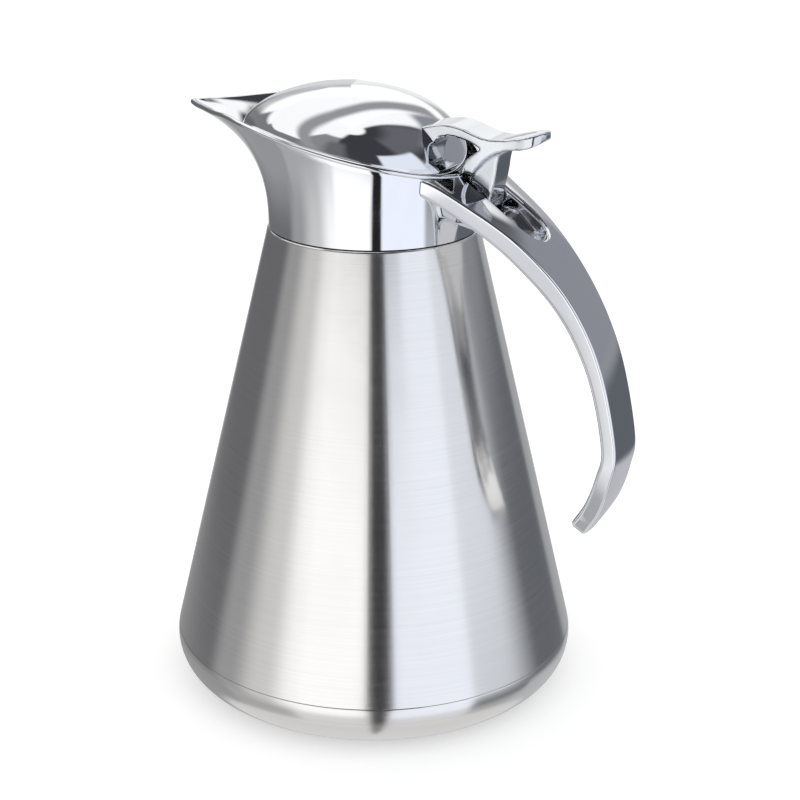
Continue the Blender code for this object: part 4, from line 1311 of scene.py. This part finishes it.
def build_pan(s):
    angles = [3.0 * i for i in range(120)]
    wall, cup = s.pan_wall, s.stopper_radius
    bottom = s.shoulder_z + s.stopper_bottom

    def sheet(share_or_radius, lift, share=True, inset=0.0):
        ring = []
        for a in angles:
            edge = pan_point(s, a, 1.0)
            reach = edge.xy.length
            radius = reach * share_or_radius if share else share_or_radius
            radius -= inset
            p = pan_point(s, a, radius / reach)
            ring.append(p + Vector((0, 0, lift)))
        return ring

    def level(radius, height):
        return [polar(radius, a, height) for a in angles]

    rings = [[pan_point(s, 0, 0) + Vector((0, 0, wall))]]
    rings += [sheet(0.5, wall), sheet(1.0, wall, inset=0.0004)]
    rings += [sheet(1.0, wall - 0.0003), sheet(1.0, 0.0005)]
    rings += [sheet(1.0, 0.0001, inset=0.0002), sheet(1.0, 0.0, inset=0.0006)]
    # A shallow step round the underside, then the fillet into the stopper.
    rings += [sheet(1.0, 0.0, inset=0.0030), sheet(1.0, 0.0004, inset=0.0034)]
    rings += [sheet(cup + 0.0022, 0.0004, False)]
    for k in range(1, 6):
        a = math.radians(18 * k)
        rings.append(
            sheet(cup + 0.0014 * (1 - math.sin(a)), -0.0014 * (1 - math.cos(a)), False)
        )
    rings += [level(cup, bottom + 0.0046), level(cup, bottom + 0.0022)]
    for k in range(7):
        a = math.radians(15 * k)
        inset, lift = 0.0016 * (1 - math.cos(a)), 0.0016 * (1 - math.sin(a))
        rings.append(level(cup - inset, bottom + lift))
    rings += [level(cup - 0.0042, bottom)]
    for k in range(1, 5):
        t = k / 4
        rise = 0.0012 * t * t * (3 - 2 * t)
        rings.append(level(cup - 0.0042 - 0.0022 * t, bottom + rise))
    rings += [level(cup * 0.36, bottom + 0.0012), level(cup * 0.34, bottom + 0.0008)]
    rings += [level(cup * 0.30, bottom + 0.0008), level(cup * 0.28, bottom + 0.0012)]
    rings += [[Vector((0, 0, bottom + 0.0012))]]
    add_piece(
        "lid_underside", grown(rings), "lid", "lid_pan", "Black plastic"
    )
    z = s.shoulder_z + s.adapter_top - 0.0034
    inner, outer = cup + FIT / 3, cup + FIT + s.seal_width
    seal = rounded(
        [
            (outer - 0.0003, z, 0.0003),
            (outer, z + s.seal_height / 2, 0.0003),
            (outer - 0.0003, z + s.seal_height, 0.0003),
            (inner, z + s.seal_height, 0.0001),
            (inner, z, 0.0001),
        ],
        4,
    )
    add_piece(
        "stopper_seal", spun(seal), "lid", "lid_seal", "Grey silicone"
    )


# ---------------------------------------------------------------- lever
def lever_outline(s):
    """Side view of arch, paddle and the curved plate under it, round to the dome."""
    hx, hz, tip = HINGE.x, HINGE.z, s.paddle_out
    rim = s.shoulder_z + s.rim_rise + s.bead_radius
    toe = rim + 2 * FIT - hz
    upper = [
        (-0.0290, 0.0190),
        (-0.0245, 0.0208),
        (-0.0208, 0.0221),
        (-0.0166, 0.0233),
        (-0.0113, 0.0240),
        (-0.0065, 0.0234),
        (-0.0030, 0.0222),
        (0.0005, 0.0211),
        (0.0040, 0.0206),
        (0.0075, 0.0210),
        (0.0110, 0.0220),
        (0.0150, 0.0231),
        (tip - 0.0022, 0.0237),
        (tip - 0.0004, 0.0233),
        (tip, 0.0222),
        (tip - 0.0008, 0.0208),
        (0.0160, 0.0194),
        (0.0110, 0.0183),
        (0.0080, 0.0174),
        (0.0056, 0.0163),
        (0.0028, 0.0144),
        (0.0006, 0.0122),
        (-0.0010, 0.0104),
    ]
    foot = [(-0.0018, toe), (-0.0074, toe)]
    lower = [
        (-0.0076, toe + 0.0006),
        (-0.0062, 0.0114),
        (-0.0045, 0.0132),
        (-0.0022, 0.0152),
        (-0.0004, 0.0166),
        (0.0002, 0.0174),
        (-0.0008, 0.0182),
        (-0.0030, 0.0191),
        (-0.0055, 0.0198),
        (-0.0085, 0.0202),
        (-0.0115, 0.0201),
        (-0.0136, 0.0193),
        (-0.0150, 0.0180),
        (-0.0158, 0.0163),
        (-0.0162, 0.0140),
    ]
    ends = [(-0.0290, 0.0140)]
    outline = []
    for part, dense in ((upper, 5), (foot, 0), (lower, 5), (ends, 0)):
        points = [Vector((x, 0, z)) for x, z in part]
        if dense:
            points = smooth_path(points, dense * (len(points) - 1))
        outline += [(hx + p.x, hz + p.z) for p in points]
    return outline


def lever_plan(s):
    """Plan that narrows the lever to a paddle with a round end."""
    hx, tip = HINGE.x, s.paddle_out
    tip_r = s.paddle_width / 2
    wide = s.lever_width / 2
    side = smooth_path(
        [
            (hx - 0.0300, -wide - 0.0006, 0),
            (hx - 0.0100, -wide, 0),
            (hx + 0.0000, -wide + 0.0002, 0),
            (hx + 0.0060, -tip_r - 0.0004, 0),
            (hx + 0.0110, -tip_r, 0),
            (hx + tip - tip_r, -tip_r, 0),
        ],
        20,
    )
    plan = [(p.x, p.y) for p in side]
    plan += arc((hx + tip - tip_r, 0.0), tip_r, -84, 84, 28)
    plan += [(x, -y) for x, y in reversed(plan[:21])]
    low = [Vector((x, y, HINGE.z - 0.0100)) for x, y in plan]
    high = [Vector((x, y, HINGE.z + 0.0400)) for x, y in plan]
    centre = Vector((hx, 0, 0))
    return grown(
        [
            [centre + Vector((0, 0, low[0].z))],
            low,
            high,
            [centre + Vector((0, 0, high[0].z))],
        ]
    )


def build_lever(s, smoothing):
    hx, hz = HINGE.x, HINGE.z
    body = outlined(lever_outline(s), s.lever_width + 0.004)
    front = s.collar_radius + 0.0007 + s.bead_radius + 2 * FIT - hx
    web = [
        (0.0078, 0.0180),
        (0.0066, 0.0160),
        (0.0060, 0.0130),
        (0.0056, 0.0095),
        (0.0050, 0.0062),
        (0.0041, 0.0030),
        (0.0034, -0.0006),
        (-0.0022, -0.0020),
        (front + 0.0003, 0.0010),
        (front, 0.0040),
        (front, 0.0108),
        (-0.0010, 0.0140),
        (0.0030, 0.0175),
    ]
    half = Vector((0, s.knuckle_width / 2, 0))
    angles = [3.0 * i for i in range(120)]
    shares = [math.sin(math.radians(a)) for a in range(6, 90, 6)] + [1.0]
    apex, rings = dome_rings(s, -FIT * 0.5, angles, shares)
    skirt = [p + Vector((0, 0, -0.0100)) for p in rings[-1]]
    seat = grown([[apex], *rings, skirt, [Vector((0, 0, skirt[0].z))]])
    body = carved(
        body,
        ("INTERSECT", lever_plan(s)),
        ("UNION", outlined([(hx + x, hz + z) for x, z in web], s.web_width)),
        ("UNION", rod(HINGE - half, HINGE + half, s.knuckle_radius)),
    )
    # The casting's edges and inside corners come out soft.
    work = as_object(body)
    cast = work.modifiers.new("Casting", "REMESH")
    cast.mode = "VOXEL"
    cast.voxel_size = CASTING_GRAIN
    soft = work.modifiers.new("Polishing", "SMOOTH")
    soft.factor = 0.5
    soft.iterations = smoothing
    body = result(work)
    for vert in body.verts:
        out = min(max((vert.co.x - hx - 0.0050) / 0.0080, 0.0), 1.0)
        vert.co.z -= PADDLE_DROP * out * (vert.co.y / (s.paddle_width / 2)) ** 2
    bore = rod(HINGE - half * 2, HINGE + half * 2, s.pin_radius + 2 * FIT + BUSH_WALL)
    body = carved(body, ("DIFFERENCE", seat), ("DIFFERENCE", bore))
    add_piece("thumb_lever", body, "lid", "lid_lever", "Cast chrome")


# ---------------------------------------------------------------- stage
def panel_group():
    """Mask of one soft-edged light panel, in degrees round and above the jug."""
    names = ("Azimuth", "Height", "Left", "Right", "Low", "High", "Softness")
    group, graph, given = shader_group(
        "Light panel",
        [(name, FLOAT, 2.0 if name == "Softness" else 0.0) for name in names],
        [("Mask", FLOAT)],
    )
    soft = given["Softness"]

    def rise(value, edge):
        return graph.ramp(
            value,
            graph.math("SUBTRACT", edge, soft),
            graph.math("ADD", edge, soft),
            smooth=True,
        )

    def between(value, low, high):
        return graph.math("SUBTRACT", rise(value, low), rise(value, high))

    across = between(given["Azimuth"], given["Left"], given["Right"])
    up = between(given["Height"], given["Low"], given["High"])
    graph.add("NodeGroupOutput", {"Mask": graph.math("MULTIPLY", across, up)})
    return group


# Light panels for the metal. Each is measured "round" the jug's axis, or "away" from
# the middle of the ceiling strip. Then come left, right, low, high and softness in
# degrees, and the colour. Later panels lie on top of earlier ones.
PANELS = [
    ("round", -200, 200, -100, -46, 4.0, (0.78, 0.78, 0.79)),
    ("round", -165, -92, -46, -20, 4.0, (0.36, 0.36, 0.37)),
    ("round", -92, -48, -46, -22, 4.0, (0.46, 0.46, 0.47)),
    ("round", -48, 60, -50, -22, 4.0, (0.78, 0.79, 0.82)),
    ("round", 95, 200, -46, -24, 4.0, (0.54, 0.55, 0.58)),
    ("round", 95, 142, -24, -3, 4.0, (0.13, 0.14, 0.16)),
    ("round", 142, 200, -24, -3, 4.0, (0.40, 0.41, 0.43)),
    ("round", -200, -162, -20, 16, 5.0, (0.74, 0.74, 0.75)),
    ("round", -165, -97, -20, 16, 8.0, (0.15, 0.15, 0.16)),
    ("round", -97, -76, -20, 16, 10.0, (0.36, 0.36, 0.37)),
    ("round", -76, -46, -22, 16, 10.0, (0.72, 0.72, 0.72)),
    ("round", 58, 101, -34, 14, 3.0, (0.19, 0.20, 0.22)),
    ("round", 101, 150, -3, 46, 4.0, (0.30, 0.31, 0.345)),
    ("round", 150, 166, -10, 14, 4.0, (0.48, 0.48, 0.50)),
    ("round", 166, 200, -20, 14, 4.0, (0.95, 0.95, 0.95)),
    ("round", -166, -56, 14, 36, 3.0, (0.23, 0.23, 0.24)),
    ("round", -200, -150, 20, 100, 3.0, (1.22, 1.22, 1.22)),
    ("round", -152, -120, 31, 100, 3.0, (1.20, 1.20, 1.20)),
    ("round", -122, 152, 37, 100, 3.0, (1.18, 1.18, 1.18)),
    ("round", 150, 200, 14, 100, 3.0, (1.22, 1.22, 1.22)),
    ("round", -62, -10, 14, 69, 3.0, (0.29, 0.29, 0.30)),
    ("away", 97, 200, 37, 120, 2.5, (1.18, 1.18, 1.18)),
    ("away", 89.5, 98.5, 22, 120, 2.5, (0.36, 0.36, 0.37)),
    ("away", -20, 70.5, 13, 81, 2.0, (0.050, 0.052, 0.060)),
    ("round", 58, 130, 34, 66, 8.0, (0.15, 0.15, 0.17)),
    ("round", -40, -18, 14, 56, 6.0, (0.16, 0.16, 0.17)),
    ("round", 101, 150, 8, 38, 5.0, (0.30, 0.31, 0.345)),
    ("round", 34, 92, -14, 13, 14.0, (0.90, 0.94, 1.02)),
    ("round", -54, -10, -22, 13, 8.0, (1.20, 1.20, 1.20)),
    ("round", -42, -3, -24, 12, 3.0, (1.28, 1.28, 1.28)),
    ("round", 7.5, 56, -30, 12, 3.0, (1.04, 1.09, 1.20)),
    ("round", -2, 7.5, -100, -46, 1.5, (0.20, 0.20, 0.20)),
    ("round", -2, 7.5, -46, -8, 1.2, (0.02, 0.02, 0.022)),
    ("round", -4, 10.5, -8, 13, 1.5, (0.02, 0.02, 0.022)),
    ("round", 27, 80, 8, 37, 3.0, (0.92, 0.97, 1.08)),
]
# Azimuth and height of the middle that the ceiling strip runs round.
STRIP = (52, 17)
ROOM_TONE = (0.45, 0.45, 0.46)  # between the panels


def build_world(azimuth):
    """White room for the eye and for matt surfaces; light panels for the metal."""
    world = bpy.data.worlds.new("Studio")
    bpy.context.scene.world = world
    world.use_nodes = True
    tree = world.node_tree
    tree.nodes.clear()
    graph = Graph(tree)
    way = graph.add("ShaderNodeTexCoord").outputs["Generated"]
    turned = graph.add(
        "ShaderNodeVectorRotate",
        {"Vector": way, "Angle": -azimuth},
        rotation_type="Z_AXIS",
    ).outputs[0]
    parts = graph.add("ShaderNodeSeparateXYZ", {0: turned}).outputs
    minus_y = graph.math("MULTIPLY", parts[1], -1.0)
    azimuth_now = graph.degrees(graph.math("ARCTAN2", parts[0], minus_y))
    height = graph.degrees(graph.math("ARCSINE", parts[2]))
    turn, lift = STRIP
    middle = polar(math.cos(math.radians(lift)), turn - 90, 0.0)
    middle.z = math.sin(math.radians(lift))
    facing = graph.add(
        "ShaderNodeVectorMath", {0: turned, 1: middle}, operation="DOT_PRODUCT"
    ).outputs["Value"]
    away = graph.degrees(graph.math("ARCCOSINE", facing))
    measures = {"round": azimuth_now, "away": away}
    shade = (*ROOM_TONE, 1.0)
    for measure, left, right, low, high, soft, tone in PANELS:
        panel = graph.group(
            "Light panel",
            {
                "Azimuth": measures[measure],
                "Height": height,
                "Left": left,
                "Right": right,
                "Low": low,
                "High": high,
                "Softness": soft,
            },
        )
        shade = graph.mix(panel["Mask"], shade, (*tone, 1.0))
    ray = graph.add("ShaderNodeLightPath").outputs
    seen = graph.mix(ray["Is Glossy Ray"], (1.0, 1.0, 1.0, 1.0), shade)
    background = graph.add("ShaderNodeBackground", {"Color": seen, "Strength": 1.0})
    graph.add("ShaderNodeOutputWorld", {"Surface": background.outputs[0]})


def build_floor(shade, glow):
    bm = bmesh.new()
    bmesh.ops.create_grid(bm, x_segments=1, y_segments=1, size=6.0)
    floor = as_object(bm, "studio_floor")
    floor.location.z = -0.0002
    material = bpy.data.materials.new("Studio floor")
    material.use_nodes = True
    shader = material.node_tree.nodes["Principled BSDF"]
    settings = {
        "Base Color": (*shade, 1.0),
        "Roughness": 0.9,
        "Specular IOR Level": 0.0,
        "Emission Color": (1.0, 1.0, 1.0, 1.0),
        "Emission Strength": glow,
    }
    for key, value in settings.items():
        shader.inputs[key].default_value = value
    floor.data.materials.append(material)
    floor.visible_glossy = False


def build_camera(stage):
    data = bpy.data.cameras.new("Studio camera")
    data.lens = stage.lens
    data.sensor_width = 36.0
    data.shift_x = stage.shift
    data.dof.use_dof = False
    camera = bpy.data.objects.new("Studio camera", data)
    turn = stage.azimuth
    camera.location = (
        AXIS_X + stage.distance * math.sin(turn),
        -stage.distance * math.cos(turn),
        stage.height,
    )
    camera.rotation_euler = (stage.pitch, 0.0, turn)
    bpy.context.scene.collection.objects.link(camera)
    bpy.context.scene.camera = camera


# ---------------------------------------------------------------- operators
class JugStep(bpy.types.Operator):
    """One step of building the jug"""

    bl_options = {"REGISTER", "UNDO"}

    @classmethod
    def poll(cls, context):
        return context.scene is not None


class JUG_OT_materials(JugStep):
    """Makes the materials and the node groups that they share"""

    bl_idname = "jug.materials"
    bl_label = "Materials"

    def execute(self, context):
        colours = context.scene.jug_colours
        grain_group()
        smudge_group()
        for name, look in LOOKS.items():
            finish_material(name, getattr(colours, look["shade"]), look)
        return {"FINISHED"}


class JUG_OT_body(JugStep):
    """Builds the shell, the base with its cover, and the flask"""

    bl_idname = "jug.body"
    bl_label = "Body"

    def execute(self, context):
        sizes = context.scene.jug_sizes
        build_shell(sizes)
        build_base(sizes)
        build_flask(sizes)
        return {"FINISHED"}


class JUG_OT_collar(JugStep):
    """Builds the spout collar, the pouring ring inside it, and its seal"""

    bl_idname = "jug.collar"
    bl_label = "Spout collar"

    def execute(self, context):
        sizes = context.scene.jug_sizes
        build_collar(sizes)
        build_neck(sizes)
        return {"FINISHED"}


class JUG_OT_handle(JugStep):
    """Builds the cast handle and the cover of the hinge pin"""

    bl_idname = "jug.handle"
    bl_label = "Handle"

    def execute(self, context):
        build_handle(context.scene.jug_sizes)
        return {"FINISHED"}


class JUG_OT_lid(JugStep):
    """Builds the lid's dome, its underside with the stopper, and the seal"""

    bl_idname = "jug.lid"
    bl_label = "Lid"

    def execute(self, context):
        sizes = context.scene.jug_sizes
        build_dome(sizes)
        build_pan(sizes)
        return {"FINISHED"}


class JUG_OT_lever(JugStep):
    """Builds the thumb lever with its knuckle"""

    bl_idname = "jug.lever"
    bl_label = "Thumb lever"

    def execute(self, context):
        build_lever(context.scene.jug_sizes, context.scene.jug_stage.polish)
        return {"FINISHED"}


class JUG_OT_hardware(JugStep):
    """Gives the small parts that keep their own shape their finish"""

    bl_idname = "jug.hardware"
    bl_label = "Small parts"

    def execute(self, context):
        finishes = {
            "getter": "Liner steel",
            "hinge_pin": "Screw steel",
            "lid_insulation": "Insulating foam",
            "plug_insulation": "Insulating foam",
        }
        for side in ("left", "right"):
            for part in ("handle_screw", "screw_washer", "lever_screw"):
                finishes[f"{part}_{side}"] = "Screw steel"
            finishes[f"hinge_bush_{side}"] = "Black plastic"
        for node, finish in finishes.items():
            for slot in frame["nodes"][node].material_slots:
                slot.material = bpy.data.materials[finish]
        return {"FINISHED"}


class JUG_OT_stage(JugStep):
    """Builds the floor, the studio light and the camera"""

    bl_idname = "jug.stage"
    bl_label = "Stage"

    def execute(self, context):
        scene = context.scene
        panel_group()
        build_world(scene.jug_stage.azimuth)
        build_floor(scene.jug_colours.floor, scene.jug_stage.glow)
        build_camera(scene.jug_stage)
        scene.view_settings.view_transform = "Standard"
        return {"FINISHED"}


STEPS = (
    JUG_OT_materials,
    JUG_OT_body,
    JUG_OT_collar,
    JUG_OT_handle,
    JUG_OT_lid,
    JUG_OT_lever,
    JUG_OT_hardware,
    JUG_OT_stage,
)


class JUG_PT_panel(bpy.types.Panel):
    """Lists the steps in the order they are run"""

    bl_idname = "JUG_PT_panel"
    bl_label = "Vacuum jug"
    bl_space_type = "VIEW_3D"
    bl_region_type = "UI"
    bl_category = "Jug"

    def draw(self, context):
        for step in STEPS:
            self.layout.operator(step.bl_idname)
        for group in (
            context.scene.jug_colours,
            context.scene.jug_stage,
            context.scene.jug_sizes,
        ):
            column = self.layout.column()
            for name in group.__annotations__:
                column.prop(group, name)


CLASSES = (JugSizes, JugColours, JugStage, *STEPS, JUG_PT_panel)


def register():
    for item in CLASSES:
        bpy.utils.register_class(item)
    bpy.types.Scene.jug_sizes = PointerProperty(type=JugSizes)
    bpy.types.Scene.jug_colours = PointerProperty(type=JugColours)
    bpy.types.Scene.jug_stage = PointerProperty(type=JugStage)


def unregister():
    del bpy.types.Scene.jug_stage
    del bpy.types.Scene.jug_colours
    del bpy.types.Scene.jug_sizes
    for item in reversed(CLASSES):
        bpy.utils.unregister_class(item)


def main():
    register()
    for step in STEPS:
        group, name = step.bl_idname.split(".")
        getattr(getattr(bpy.ops, group), name)()


if __name__ == "__main__":
    main()
